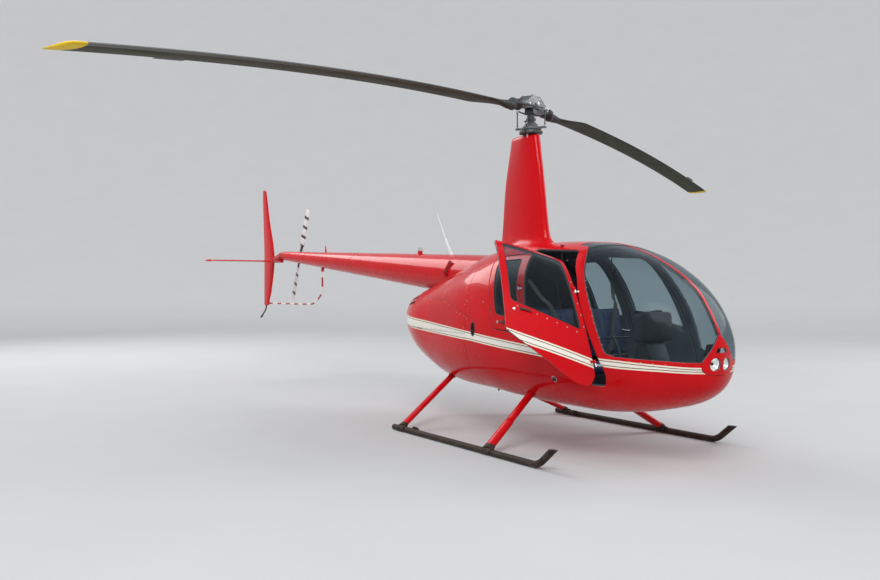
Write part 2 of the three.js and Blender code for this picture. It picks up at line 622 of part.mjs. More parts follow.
// A blade: heights droop along the span, and the root narrows to a round spindle.
const chord = 262;
const droop = (r) => 3140 - teeterHeight - 0.02 * r - 0.0000128 * r * r;
const bladeSections = [
  { r: bladeRoot + gap, ahead: 42, behind: 42, thick: 84 },
  { r: 420, ahead: 46, behind: 46, thick: 88 },
  { r: 560, ahead: 40, behind: 44, thick: 60 },
  { r: 640, ahead: 52, behind: 110, thick: 46 },
  { r: 860, ahead: chord / 4, behind: chord * 0.75, thick: 34 },
  { r: 2000, ahead: chord / 4, behind: chord * 0.75, thick: 33 },
  { r: 3200, ahead: chord / 4, behind: chord * 0.75, thick: 32 },
  { r: 4200, ahead: chord / 4, behind: chord * 0.75, thick: 31 },
  { r: 4930, ahead: chord / 4, behind: chord * 0.75, thick: 30 },
  { r: rotorRadius, ahead: chord / 4, behind: chord * 0.75, thick: 22 },
];
function bladeRing({ r, ahead, behind, thick }) {
  const round = thick > 50 ? 1 : 0.12;
  return ellipseRing(16, (c, s) => {
    const along = (1 + c) / 2;
    const full = round + (1 - round) * Math.sqrt(along) * (1.6 - 0.6 * along);
    return [r, (ahead + behind) * along - behind, droop(r) + (thick / 2) * s * Math.min(1, full)];
  });
}
[{ name: 'a', turn: 0 }, { name: 'b', turn: Math.PI }].forEach(({ name, turn }) => {
  const blade = loft(bladeSections.map(bladeRing)).rotateZ(turn);
  add(`rotor_blade_${name}`, olive, blade, teetering);
});

// The tail rotor turns about a shaft that points to the left.
const tailHub = new THREE.Group();
tailHub.position.set(tailRotor.x, tailRotor.y, tailRotor.z);
tailHub.rotation.y = THREE.MathUtils.degToRad(tailRotor.lean);
airframe.add(tailHub);
const tailBladeSections = [
  { r: 110, half: 34, thick: 26 },
  { r: 190, half: 62, thick: 18 },
  { r: tailRotor.radius, half: 64, thick: 12 },
];
function tailBlade(way) {
  const plate = loft(tailBladeSections.map(({ r, half, thick }) => (
    ellipseRing(16, (c, s) => [half * c, (thick / 2) * s, way * r]))));
  return joined(plate, rod([0, 0, way * 20], [0, 0, way * 130], 20));
}
add('tail_rotor', black, joined(
  tailBlade(1),
  tailBlade(-1),
  rod([0, -104 + gap, 0], [0, 34, 0], 18, 18, 20),
  rod([0, -22, 0], [0, 22, 0], 40, 40, 20),
), tailHub);

// The skids and their struts. A strut's top is let into the belly.
const struts = [
  { end: 'front', x: 728, chord: 105, thickness: 60, top: [524, 351, 541] },
  { end: 'rear', x: -648, chord: 86, thickness: 50, top: [-1039, 143, 532] },
];
const strutFoot = 70;

// A ring of the skid's tube round a place on its middle line, which climbs at an angle there.
function skidRing(x, y, z, climb) {
  return ellipseRing(14, (up, aside) => [
    x - skidRadius * up * Math.sin(climb), y + skidRadius * aside, z + skidRadius * up * Math.cos(climb)]);
}

// The tube is straight, bends up at the toe and is cut off level there. Its underside is worn flat.
function skidTube(y) {
  const rings = [skidRing(-800, y, skidMiddle, 0), skidRing(toe.start, y, skidMiddle, 0)];
  let end = [toe.start, skidMiddle];
  for (const share of [0.25, 0.5, 0.75, 1]) {
    const climb = THREE.MathUtils.degToRad(toe.slope * share);
    end = [toe.start + toe.bend * Math.sin(climb), skidMiddle + toe.bend * (1 - Math.cos(climb))];
    rings.push(skidRing(end[0], y, end[1], climb));
  }
  const climb = THREE.MathUtils.degToRad(toe.slope);
  const rise = toe.top + 2 * skidRadius - end[1];
  rings.push(skidRing(end[0] + rise / Math.tan(climb), y, end[1] + rise, climb));
  const around = [y - 100, y + 100];
  return cut(loft(rings), box(-900, 1900, ...around, ground - 100, ground), box(1400, 1900, ...around, toe.top, 400));
}

for (const { side, sign } of sides) {
  const y = sign * skidY;
  const skidSeat = rod([-1000, y, skidMiddle], [1300, y, skidMiddle], skidRadius + 0.7, skidRadius + 0.7, 28);
  for (const { end, x, chord, thickness, top } of struts) {
    const strut = spar([x, y, strutFoot], [top[0], sign * top[1], top[2]], chord, thickness);
    add(`strut_${end}_${side}`, red, cut(strut, hull(-0.02), skidSeat));
  }
  add(`skid_${side}`, skidBrown, skidTube(y));
}

// Small fittings on top and below.
const whipFoot = [-1345, 0, 1735];
const whip = joined(rod(whipFoot, [-1463, 0, 1937], 19, 13), rod(whipFoot, [-1640, 0, 2240], 7, 3, 10));
add('whip_antenna', white, cut(whip, coneBetween(-1000, -1800, gap)));
const beaconX = -1990;
const beaconFoot = rod([beaconX, 0, 1740], [beaconX, 0, 1822], 34);
const beaconLens = rod([beaconX, 0, 1822], [beaconX, 0, 1868], 26, 20);
add('beacon', glass, cut(joined(beaconFoot, beaconLens), coneBetween(-1800, -2200, gap)));
export default helicopter;
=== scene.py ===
"""A light four-seat helicopter with a two-blade teetering rotor, parked with its right front door open.

Lengths are in metres, +X forward from the rotor mast, +Y left, and +Z up from a level just below the ground.
"""
import json
import math

import bpy
import numpy as np
from mathutils import Matrix, Vector, geometry


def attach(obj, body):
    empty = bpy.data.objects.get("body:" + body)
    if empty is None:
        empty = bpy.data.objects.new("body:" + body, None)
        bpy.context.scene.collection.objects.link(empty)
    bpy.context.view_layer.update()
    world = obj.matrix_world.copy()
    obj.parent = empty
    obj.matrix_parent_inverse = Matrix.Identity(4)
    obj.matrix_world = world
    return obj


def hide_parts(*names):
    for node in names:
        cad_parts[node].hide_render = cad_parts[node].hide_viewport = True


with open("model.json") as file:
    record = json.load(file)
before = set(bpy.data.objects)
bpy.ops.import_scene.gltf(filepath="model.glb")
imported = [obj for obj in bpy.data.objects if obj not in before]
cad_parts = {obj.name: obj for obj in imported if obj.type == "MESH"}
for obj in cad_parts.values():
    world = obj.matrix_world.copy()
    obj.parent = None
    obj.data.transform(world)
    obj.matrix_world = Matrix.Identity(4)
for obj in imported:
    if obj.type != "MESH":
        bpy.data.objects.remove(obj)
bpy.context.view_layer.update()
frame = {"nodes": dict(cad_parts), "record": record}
joints = {joint["name"]: joint for joint in frame["record"]["behaviour"]["joints"]}
GROUND = 0.030
SIDES = (("right", -1.0), ("left", 1.0))
MAST = np.array([*joints["main_rotor_spin"]["pos_m"][:2], -GROUND])


# The camera stands ahead of the helicopter on its right.

def aim_camera(place, yaw, pitch, roll, lens):
    """The view direction comes from yaw and pitch, and roll turns the picture about it."""
    ahead = Vector((math.cos(yaw) * math.cos(pitch), math.sin(yaw) * math.cos(pitch), math.sin(pitch)))
    level = ahead.cross(Vector((0, 0, 1))).normalized()
    over = level.cross(ahead)
    right = math.cos(roll) * level + math.sin(roll) * over
    up = right.cross(ahead)
    turn = Matrix((right, up, -ahead)).transposed().to_4x4()
    data = bpy.data.cameras.new("camera")
    data.lens = lens
    data.sensor_width = 36.0
    data.clip_end = 400.0
    camera = bpy.data.objects.new("camera", data)
    camera.matrix_world = Matrix.Translation(Vector(place + MAST)) @ turn
    bpy.context.scene.collection.objects.link(camera)
    bpy.context.scene.camera = camera


CAMERA_AT = np.array([6.729, -5.541, 1.498])
CAMERA_YAW, CAMERA_PITCH, CAMERA_ROLL = np.radians([146.285, -0.656, 0.226])
aim_camera(CAMERA_AT, CAMERA_YAW, CAMERA_PITCH, CAMERA_ROLL, lens=36.586)


# Materials. A pattern is written as a formula on links, and each operator adds its Math node.

class Link:
    """One output of a node, with the arithmetic that the patterns use."""

    def __init__(self, finish, socket):
        self.finish = finish
        self.socket = socket

    def math(self, operation, *others):
        return self.finish.node("Math", {"operation": operation}, dict(enumerate((self, *others))))

    def __add__(self, other):
        return self.math("ADD", other)

    def __mul__(self, other):
        return self.math("MULTIPLY", other)

    def __sub__(self, other):
        return self.math("SUBTRACT", other)

    def __rsub__(self, other):
        return self.finish.node("Math", {"operation": "SUBTRACT"}, {0: other, 1: self})

    def __truediv__(self, other):
        return self.math("DIVIDE", other)

    def __gt__(self, other):
        return self.math("GREATER_THAN", other)

    def __lt__(self, other):
        return self.math("LESS_THAN", other)

    __radd__, __rmul__ = __add__, __mul__

    def size(self):
        return self.math("ABSOLUTE")

    def ramp(self, low, high):
        """Rises from 0 to 1 as the value goes from low to high, and stays there."""
        return self.finish.node("MapRange", {"clamp": True}, {0: self, 1: low, 2: high, 3: 0.0, 4: 1.0})


class Finish:
    """A material under construction: every node but the operators' own comes from node()."""

    def __init__(self, name):
        self.material = bpy.data.materials.new(name)
        self.material.use_nodes = True
        self.tree = self.material.node_tree
        self.tree.nodes.clear()

    def node(self, kind, settings=None, inputs=None, output=0):
        """Adds a node by type, makes its settings, then fills its sockets with numbers or links."""
        node = self.tree.nodes.new("ShaderNode" + kind)
        for key, value in (settings or {}).items():
            if key == "stops":
                self.set_stops(node.color_ramp.elements, value)
            else:
                setattr(node, key, value)
        for key, value in (inputs or {}).items():
            if isinstance(value, Link):
                self.tree.links.new(value.socket, node.inputs[key])
            else:
                node.inputs[key].default_value = value
        return Link(self, node.outputs[output]) if node.outputs else None

    @staticmethod
    def set_stops(elements, stops):
        while len(elements) < len(stops):
            elements.new(1.0)
        for element, (place, value) in zip(elements, stops):
            element.position = place
            element.color = (value, value, value, 1.0) if isinstance(value, float) else (*value, 1.0)

    def at(self):
        """Where a point is on the object, in metres."""
        return self.node("TexCoord", output="Object")

    def own(self, name="place"):
        """The point's own coordinates, kept with the piece as an attribute."""
        return self.node("Attribute", {"attribute_name": name}, output="Vector")

    def parts(self, vector):
        return [self.node("SeparateXYZ", inputs={0: vector}, output=i) for i in range(3)]

    def noise(self, vector, scale, detail=3.0, roughness=0.55):
        return self.node("TexNoise", inputs={
            "Vector": vector, "Scale": scale, "Detail": detail, "Roughness": roughness})

    def stretch(self, vector, scale):
        return self.node("Mapping", inputs={"Vector": vector, "Scale": scale})

    def mix(self, factor, first, second):
        """The first colour where the factor is 0, the second where it is 1."""
        colours = {6: rgba(first), 7: rgba(second)}
        return self.node("Mix", {"data_type": "RGBA"}, {0: factor, **colours}, output=2)

    def bump(self, height, distance, strength=1.0):
        return self.node("Bump", inputs={"Height": height, "Distance": distance, "Strength": strength})

    def principled(self, **sockets):
        named = {key.replace("_", " ").title().replace("Ior", "IOR"): value for key, value in sockets.items()}
        if "Base Color" in named:
            named["Base Color"] = rgba(named["Base Color"])
        return self.node("BsdfPrincipled", inputs=named)

    def done(self, shader):
        self.node("OutputMaterial", inputs={"Surface": shader})
        return self.material


def rgba(colour):
    return colour if isinstance(colour, Link) or len(colour) == 4 else (*colour, 1.0)


# Shapes. A form is a pair: points as rows of x, y, z, and a list of face arrays with three or four columns.

def merged(*forms):
    """Several forms as one, each with its own points."""
    points, faces, start = [], [], 0
    for these, those in forms:
        points.append(these)
        faces.extend(block + start for block in those)
        start += len(these)
    return np.concatenate(points), faces


def net(rows, columns, wrap_rows=False, wrap_columns=False):
    """The four-sided faces of a grid of points, which may join up with itself either way."""
    i = np.arange(rows if wrap_rows else rows - 1)
    j = np.arange(columns if wrap_columns else columns - 1)
    i, j = (axis.ravel() for axis in np.meshgrid(i, j, indexing="ij"))
    down, along = (i + 1) % rows, (j + 1) % columns
    corners = (i * columns + j, i * columns + along, down * columns + along, down * columns + j)
    return np.stack(corners, axis=1)


def loft(rings, closed_path=False):
    """A skin through rings of points, with a fan over each end unless the path runs round."""
    rings = np.asarray(rings, float)
    count, sides = rings.shape[:2]
    points, faces = rings.reshape(-1, 3), [net(count, sides, closed_path, True)]
    if not closed_path:
        middles = np.stack([rings[0].mean(axis=0), rings[-1].mean(axis=0)])
        i = np.arange(sides)
        after = (i + 1) % sides
        last = (count - 1) * sides
        first_fan = np.stack([np.full(sides, len(points)), after, i], axis=1)
        last_fan = np.stack([np.full(sides, len(points) + 1), last + i, last + after], axis=1)
        points, faces = np.concatenate([points, middles]), faces + [first_fan, last_fan]
    return outward((points, faces))


def volume(form):
    """Sum of the tetrahedra from the middle to each face, positive where the faces point outwards."""
    points, faces = form
    points = points - points.mean(axis=0)
    total = 0.0
    for block in faces:
        for k in range(1, block.shape[1] - 1):
            a, b, c = points[block[:, 0]], points[block[:, k]], points[block[:, k + 1]]
            total += np.einsum("ij,ij->", a, np.cross(b, c))
    return total


def outward(form):
    points, faces = form
    return (points, [block[:, ::-1] for block in faces]) if volume(form) < 0 else form


def unit(vectors):
    return vectors / np.maximum(np.linalg.norm(vectors, axis=-1, keepdims=True), 1e-12)


def directions(path, closed=False):
    """The way a path runs at each of its points."""
    if closed:
        return unit(np.roll(path, -1, axis=0) - np.roll(path, 1, axis=0))
    return unit(np.gradient(path, axis=0))


def tube(path, radius, sides=12, closed=False, up=(0, 0, 1), flat=1.0):
    """Circles of the given radius, or ellipses squeezed along up by flat, set square to a path."""
    path = np.asarray(path, float)
    ahead = directions(path, closed)
    up = np.broadcast_to(np.asarray(up, float), path.shape)
    across = unit(np.cross(ahead, up) + 1e-9)
    over = np.cross(across, ahead)
    angle = np.linspace(0, 2 * np.pi, sides, endpoint=False)[None, :, None]
    radius = np.broadcast_to(radius, len(path))[:, None, None]
    circle = np.cos(angle) * across[:, None] + flat * np.sin(angle) * over[:, None]
    return loft(path[:, None] + radius * circle, closed)


def smooth_path(points, count):
    """A curve through points with the slope of each set by its neighbours."""
    points = np.asarray(points, float)
    span = np.r_[0, np.cumsum(np.linalg.norm(np.diff(points, axis=0), axis=1))]
    at = np.linspace(0, span[-1], count)
    return np.stack([steady(span, column, at) for column in points.T], axis=1)


def steady(known, values, at):
    """A cubic through known values that never overshoots: a slope is the harmonic mean of its neighbours."""
    step, rise = np.diff(known), np.diff(values, axis=0)
    grade = rise / step
    inner = np.zeros_like(values)
    same = grade[1:] * grade[:-1] > 0
    mean = 2 * grade[1:] * grade[:-1] / np.where(same, grade[1:] + grade[:-1], 1)
    inner[1:-1] = np.where(same, mean, 0)
    inner[0], inner[-1] = grade[0], grade[-1]
    i = np.clip(np.searchsorted(known, at, side="right") - 1, 0, len(step) - 1)
    t, h = (at - known[i]) / step[i], step[i]
    blend = (2 * t ** 3 - 3 * t ** 2 + 1) * values[i] + (3 * t ** 2 - 2 * t ** 3) * values[i + 1]
    return blend + h * ((t ** 3 - 2 * t ** 2 + t) * inner[i] + (t ** 3 - t ** 2) * inner[i + 1])


def turned(profile, start, axis, sides=32):
    """A profile of (distance along the axis, radius) carried round the axis, closed on it at both ends."""
    profile = np.asarray(profile, float)
    axis = unit(np.asarray(axis, float))
    side = unit(np.cross(axis, (0, 0, 1) if abs(axis[2]) < 0.9 else (1, 0, 0)))
    other = np.cross(axis, side)
    angle = np.linspace(0, 2 * np.pi, sides, endpoint=False)[None, :, None]
    circle = np.cos(angle) * side + np.sin(angle) * other
    rings = np.asarray(start, float) + profile[:, 0, None, None] * axis + profile[:, 1, None, None] * circle
    return loft(rings)


def rod(start, end, radius, sides=16, edge=0.15):
    """A straight bar with its ends eased over a share of the radius."""
    start, end = np.asarray(start, float), np.asarray(end, float)
    length = np.linalg.norm(end - start)
    ease = min(edge * radius, 0.3 * length)
    profile = [(0, radius - ease), (ease, radius), (length - ease, radius), (length, radius - ease)]
    return turned(profile, start, end - start, sides)


def slab(outline, depth, place, across, up, edge=0.003):
    """A flat plate of a given depth behind an outline, its rim rounded by a small edge."""
    outline = np.asarray(outline, float)
    across, up = unit(np.asarray(across, float)), unit(np.asarray(up, float))
    out = np.cross(across, up)
    ahead = directions(outline, closed=True)
    area = np.sum(outline[:, 0] * np.roll(outline[:, 1], -1) - outline[:, 1] * np.roll(outline[:, 0], -1))
    inward = np.stack([-ahead[:, 1], ahead[:, 0]], axis=1) * np.sign(area)
    rings = []
    for inset, height in ((edge, 0), (0.3 * edge, 0.3 * edge), (0, edge),
                          (0, depth - edge), (0.3 * edge, depth - 0.3 * edge), (edge, depth)):
        flat = outline + inward * inset
        rings.append(np.asarray(place) + flat[:, :1] * across + flat[:, 1:] * up - height * out)
    return loft(rings)


def rounded(corners, steps=7):
    """An outline of (u, v, radius) corners, each rounded by a parabola that starts that far before it."""
    corners = [(*corner, 0.0)[:3] for corner in corners]
    at = np.array([corner[:2] for corner in corners])
    before = unit(np.roll(at, 1, axis=0) - at)
    after = unit(np.roll(at, -1, axis=0) - at)
    line = []
    for point, back, on, radius in zip(at, before, after, [corner[2] for corner in corners]):
        t = np.linspace(0, 1, steps)[:, None] if radius else np.array([[0.5]])
        start, end = point + back * radius, point + on * radius
        line.append((1 - t) ** 2 * start + 2 * t * (1 - t) * point + t ** 2 * end)
    return np.concatenate(line)


def box_line(u0, v0, u1, v1, radius):
    """A rectangle with rounded corners."""
    return rounded([(u0, v0, radius), (u1, v0, radius), (u1, v1, radius), (u0, v1, radius)])


def resampled(line, spacing, closed=True):
    """Points at about the given spacing along a line, its own points kept."""
    ends = np.concatenate([line, line[:1]]) if closed else line
    pieces = []
    for a, b in zip(ends[:-1], ends[1:]):
        count = max(1, int(math.ceil(np.linalg.norm(b - a) / spacing)))
        pieces.append(a + (b - a) * np.arange(count)[:, None] / count)
    if not closed:
        pieces.append(ends[-1:])
    line = np.concatenate(pieces)
    apart = np.linalg.norm(line - np.roll(line, 1, axis=0), axis=1) > 1e-6
    return line[apart] if closed else line


def moved(form, shift=(0, 0, 0), turn=None):
    """A form turned by a 3 by 3 matrix about the origin, then shifted."""
    points, faces = form
    return (points if turn is None else points @ np.asarray(turn).T) + np.asarray(shift), faces


def about(axis, angle):
    """The matrix that turns by an angle about an axis through the origin."""
    x, y, z = unit(np.asarray(axis, float))
    skew = np.array([[0, -z, y], [z, 0, -x], [-y, x, 0]])
    return np.eye(3) + math.sin(angle) * skew + (1 - math.cos(angle)) * skew @ skew


def mesh_of(name, form, face_materials=None, normals=None, places=None, sharp=35):
    """Fills a mesh from a form. Without normals of its own, edges over the sharp angle stay crisp."""
    points, faces = form
    mesh = bpy.data.meshes.new(name)
    mesh.vertices.add(len(points))
    mesh.vertices.foreach_set("co", (points + MAST).astype(np.float32).ravel())
    corners = np.concatenate([block.ravel() for block in faces])
    sizes = np.concatenate([np.full(len(block), block.shape[1]) for block in faces])
    mesh.loops.add(len(corners))
    mesh.loops.foreach_set("vertex_index", corners.astype(np.int32))
    mesh.polygons.add(len(sizes))
    mesh.polygons.foreach_set("loop_start", np.r_[0, np.cumsum(sizes)[:-1]].astype(np.int32))
    mesh.polygons.foreach_set("use_smooth", np.ones(len(sizes), bool))
    if face_materials is not None:
        mesh.polygons.foreach_set("material_index", np.asarray(face_materials, np.int32))
    mesh.update(calc_edges=True)
    attribute = mesh.attributes.new("place", "FLOAT_VECTOR", "POINT")
    attribute.data.foreach_set("vector", (points if places is None else places).astype(np.float32).ravel())
    if normals is None:
        mesh.set_sharp_from_angle(angle=math.radians(sharp))
    else:
        mesh.normals_split_custom_set(unit(normals).tolist())
    return mesh


def piece(name, form, body, slot, *materials, replaces=(), **details):
    """A finished piece of the helicopter that rides on a body."""
    mesh = mesh_of(name, form, **details)
    for material in materials:
        mesh.materials.append(material)
    thing = bpy.data.objects.new(name, mesh)
    bpy.context.scene.collection.objects.link(thing)
    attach(thing, body)
    if replaces:
        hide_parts(*replaces)
    return thing


# The fuselage: sections given along its length, each a rounded form that is fuller as its powers grow.

# x, bottom, top, half the width, height of the widest line, power above it, power below it
SECTIONS = np.array([
    (2.285, 0.930, 0.930, 0.000, 0.930, 2.0, 2.0), (2.265, 0.762, 1.075, 0.117, 0.930, 2.1, 2.05),
    (2.200, 0.639, 1.215, 0.266, 0.930, 2.15, 2.2), (2.050, 0.543, 1.425, 0.386, 0.950, 2.15, 2.3),
    (1.800, 0.468, 1.600, 0.519, 0.980, 2.25, 2.45), (1.500, 0.411, 1.735, 0.600, 1.000, 2.4, 2.5),
    (1.150, 0.382, 1.822, 0.638, 1.000, 2.5, 2.5), (0.700, 0.382, 1.847, 0.645, 1.000, 2.6, 2.5),
    (0.200, 0.394, 1.850, 0.641, 1.000, 2.6, 2.5), (-0.300, 0.418, 1.785, 0.606, 1.000, 2.4, 2.4),
    (-0.700, 0.426, 1.680, 0.548, 1.000, 2.2, 2.35), (-1.100, 0.468, 1.565, 0.480, 1.010, 2.1, 2.15),
    (-1.450, 0.572, 1.460, 0.425, 1.030, 2.0, 1.95), (-1.750, 0.670, 1.370, 0.318, 1.060, 2.1, 1.8),
    (-1.930, 0.835, 1.300, 0.208, 1.080, 2.2, 1.85), (-2.000, 0.990, 1.200, 0.095, 1.100, 2.1, 1.95),
    (-2.015, 1.100, 1.100, 0.000, 1.100, 2.0, 2.0),
])
HULL_MIDDLE = 0.135
HULL_REACH = 2.15
GIRTH = 0.62  # metres of skin for each radian round a section, about
SECTION_ANGLES = np.arccos(np.clip((SECTIONS[:, 0] - HULL_MIDDLE) / HULL_REACH, -1, 1))


def section_at(along):
    """The section's values at an angle along: 0 is the nose and half a turn the rear end."""
    return [steady(SECTION_ANGLES, SECTIONS[:, k], along) for k in range(1, 7)]


def half_section(along, z):
    """Half the width, the widest line's height, and the power and the reach on z's side of it."""
    bottom, top, half, wide, upper, lower = section_at(along)
    above = z >= wide
    return half, wide, np.where(above, upper, lower), np.where(above, top - wide, wide - bottom)


def angle_at(x):
    return np.arccos(np.clip((x - HULL_MIDDLE) / HULL_REACH, -1, 1))


def hull_point(along, around):
    """y is half the width times cosine to the power 2/p, and z the reach times sine to the power 2/p."""
    bottom, top, half, wide, upper, lower = section_at(along)
    c, s = np.maximum(np.cos(around), 0), np.sin(around)
    c = np.where(c < 1e-9, 0, c)
    power = 2 / np.where(s >= 0, upper, lower)
    reach = np.where(s >= 0, top - wide, wide - bottom)
    x = HULL_MIDDLE + HULL_REACH * np.cos(along)
    return np.stack([x, half * c ** power, wide + reach * np.sign(s) * np.abs(s) ** power], axis=-1)


def hull_form(along, y, z):
    """How far a point lies outside its section: |y/half|^p + |z/reach|^p - 1."""
    half, wide, power, reach = half_section(along, z)
    across, over = np.abs(y) / np.maximum(half, 1e-5), np.abs(z - wide) / np.maximum(reach, 1e-5)
    return across ** power + over ** power - 1


def hull_normal(points):
    """The slope of hull_form, along the length by way of the angle so that it holds at the two ends."""
    x, y, z = points.T
    margin, step = 0.004, 1e-3
    along = np.clip(angle_at(x), margin, np.pi - margin)
    half, wide, power, reach = half_section(along, z)
    v, w = y / half, (z - wide) / reach
    swing = (hull_form(along + step, y, z) - hull_form(along - step, y, z)) / (2 * step)
    across = np.sin(along) * power * np.sign(v) * np.abs(v) ** (power - 1) / half
    over = np.sin(along) * power * np.sign(w) * np.abs(w) ** (power - 1) / reach
    return unit(np.stack([-swing / HULL_REACH, across, over], axis=1))


def around_at(along, y, z):
    """The angle round a section, from the height alone where y isn't known."""
    half, wide, power, reach = half_section(along, z)
    s = np.clip(np.abs(z - wide) / np.maximum(reach, 1e-6), 0, 1) ** (power / 2)
    if y is None:
        return np.where(z >= wide, 1, -1) * np.arcsin(s)
    c = np.clip(np.abs(y) / np.maximum(half, 1e-6), 0, 1) ** (power / 2)
    return np.arctan2(np.where(z >= wide, s, -s), c)


def from_side(line):
    """Takes a line in side view (x, z) to the fuselage's own two angles."""
    along = angle_at(line[:, 0])
    return np.stack([along, around_at(along, None, line[:, 1])], axis=1)


def from_front(line):
    """Takes a line in front view (y, z) to the two angles, by halving the search for its section."""
    y, z = line.T
    low, high = np.full(len(line), 1e-4), np.full(len(line), 1.2)
    for _ in range(40):
        middle = (low + high) / 2
        outside = hull_form(middle, y, z) > 0
        low, high = np.where(outside, middle, low), np.where(outside, high, middle)
    return np.stack([low, around_at(low, y, z)], axis=1)


def side_skin(x, z, sign=-1.0, lift=0.0):
    """The point of the skin at a place in side view, and the way it faces."""
    angles = from_side(np.stack(np.broadcast_arrays(x, z), axis=-1).reshape(-1, 2).astype(float))
    points = hull_point(*angles.T)
    normals = hull_normal(points)
    flip = (1, sign, 1)
    return (points + lift * normals) * flip, normals * flip


def skin_spot(x, z, sign, lift=0.0):
    """One point of the skin, and the way it faces."""
    points, normals = side_skin(x, z, sign, lift)
    return points[0], normals[0]


# Door, window and panel outlines in side view, with the radius of each corner.
FRONT_DOOR = [(0.818, 0.925, 0.025), (0.930, 0.878, 0.030), (1.440, 0.672, 0.060), (1.575, 0.672, 0.045),
              (1.597, 0.762, 0.025), (1.520, 0.925), (1.240, 1.510), (1.128, 1.748, 0.040),
              (0.530, 1.772, 0.030)]
FRONT_DOORWAY = [(0.811, 0.921, 0.030), (0.927, 0.873, 0.036), (1.437, 0.653, 0.064), (1.580, 0.653, 0.050),
                 (1.604, 0.763, 0.030), (1.531, 0.927), (1.251, 1.513), (1.076, 1.757, 0.044),
                 (0.521, 1.779, 0.036)]
FRONT_WINDOW = [(0.796, 1.175, 0.035), (1.394, 1.090, 0.025), (1.205, 1.500, 0.030), (1.108, 1.712, 0.060),
                (0.600, 1.735, 0.040)]
REAR_DOOR = [(0.262, 1.062, 0.030), (0.716, 1.030, 0.030), (0.572, 1.440), (0.472, 1.735, 0.030),
             (0.036, 1.708, 0.050)]
REAR_DOORWAY = [(0.257, 1.056, 0.036), (0.732, 1.016, 0.036), (0.578, 1.442), (0.456, 1.744, 0.036),
                (0.027, 1.714, 0.056)]
REAR_WINDOW = [(0.287, 1.190, 0.040), (0.632, 1.160, 0.040), (0.548, 1.400), (0.452, 1.690, 0.040),
               (0.128, 1.672, 0.060)]
WINDSHIELD = [(0.985, 2.0), (0.985, 1.800), (1.120, 1.790, 0.060), (1.215, 1.700, 0.060), (1.300, 1.560),
              (1.478, 1.250), (1.610, 0.925, 0.030), (1.700, 0.902), (2.250, 0.880), (2.400, 0.880),
              (2.400, 2.0)]
NOSE_SHIELD = [(0.0, 1.105), (0.180, 0.882, 0.015), (0.178, 0.812, 0.040), (0.105, 0.780, 0.030),
               (0.0, 0.780)]
AIR_SLOT = [(0.0, 0.954), (0.062, 0.954, 0.008), (0.047, 0.986, 0.008), (0.0, 0.986)]
SHIELD_X = 1.9  # outlines in front view count ahead of here
DIVIDER_HALF = 0.014  # half the width of the strip between the windshield's panes
ROOF_EDGE = 0.985  # where that strip meets the roof
BULKHEAD = -0.235  # where the cabin ends and the engine bay begins
COWL_SEAM = 0.985  # height of the joint between the cowls and the belly
LAMP_Y, LAMP_Z, LAMP_RADIUS = 0.062, 0.864, 0.048
VENT = (-0.081, 1.038, 0.030, 0.062)  # middle x and z, half width, half height


def slot_outline(k):
    z = 1.215 + 0.052 * k
    return [(-1.590, z + 0.028, 0.008), (-1.845, z - 0.008, 0.008), (-1.845, z + 0.014, 0.008),
            (-1.590, z + 0.052, 0.008)]


def ring_outline(u, v, half_u, half_v, count=28):
    angle = np.linspace(0, 2 * np.pi, count, endpoint=False)
    return np.stack([u + half_u * np.cos(angle), v + half_v * np.sin(angle)], axis=1)


def inside(line, u, v):
    """True where a ray to the right crosses the closed line an odd number of times."""
    result = np.zeros(len(u), bool)
    for (u0, v0), (u1, v1) in zip(line, np.roll(line, -1, axis=0)):
        if v0 != v1:
            result ^= ((v0 > v) != (v1 > v)) & (u < u0 + (v - v0) * (u1 - u0) / (v1 - v0))
    return result


side_lines = {name: rounded(corners) for name, corners in {
    "front_door": FRONT_DOOR, "front_doorway": FRONT_DOORWAY, "front_window": FRONT_WINDOW,
    "rear_door": REAR_DOOR, "rear_doorway": REAR_DOORWAY, "rear_window": REAR_WINDOW,
    "windshield": WINDSHIELD, **{f"slot_{k}": slot_outline(k) for k in range(4)}}.items()}
side_lines["vent"] = ring_outline(*VENT)
front_lines = {"shield": rounded(NOSE_SHIELD), "air_slot": rounded(AIR_SLOT),
               "lamp": ring_outline(LAMP_Y, LAMP_Z, LAMP_RADIUS, LAMP_RADIUS, 40)}


def skin_lines():
    """Every line that a panel ends at, in the fuselage's two angles, and whether it is closed."""
    side_spacing, front_spacing = 0.014, 0.010
    lines = [(from_side(resampled(line, side_spacing)), True) for line in side_lines.values()]
    for name, line in front_lines.items():
        closed = name == "lamp"
        lines.append((from_front(resampled(line, front_spacing, closed)), closed))
    height = np.linspace(-np.pi / 2, np.pi / 2, 90)
    lines.append((np.stack([np.full_like(height, angle_at(BULKHEAD)), height], axis=1), False))
    seam = np.linspace(BULKHEAD, -2.012, 120)
    lines.append((from_side(np.stack([seam, np.full_like(seam, COWL_SEAM)], axis=1)), False))
    along = np.linspace(angle_at(ROOF_EDGE), 0.25, 110)
    half, upper = section_at(along)[2], section_at(along)[4]
    lines.append((np.stack([along, np.arccos((DIVIDER_HALF / half) ** (upper / 2))], axis=1), False))
    return lines


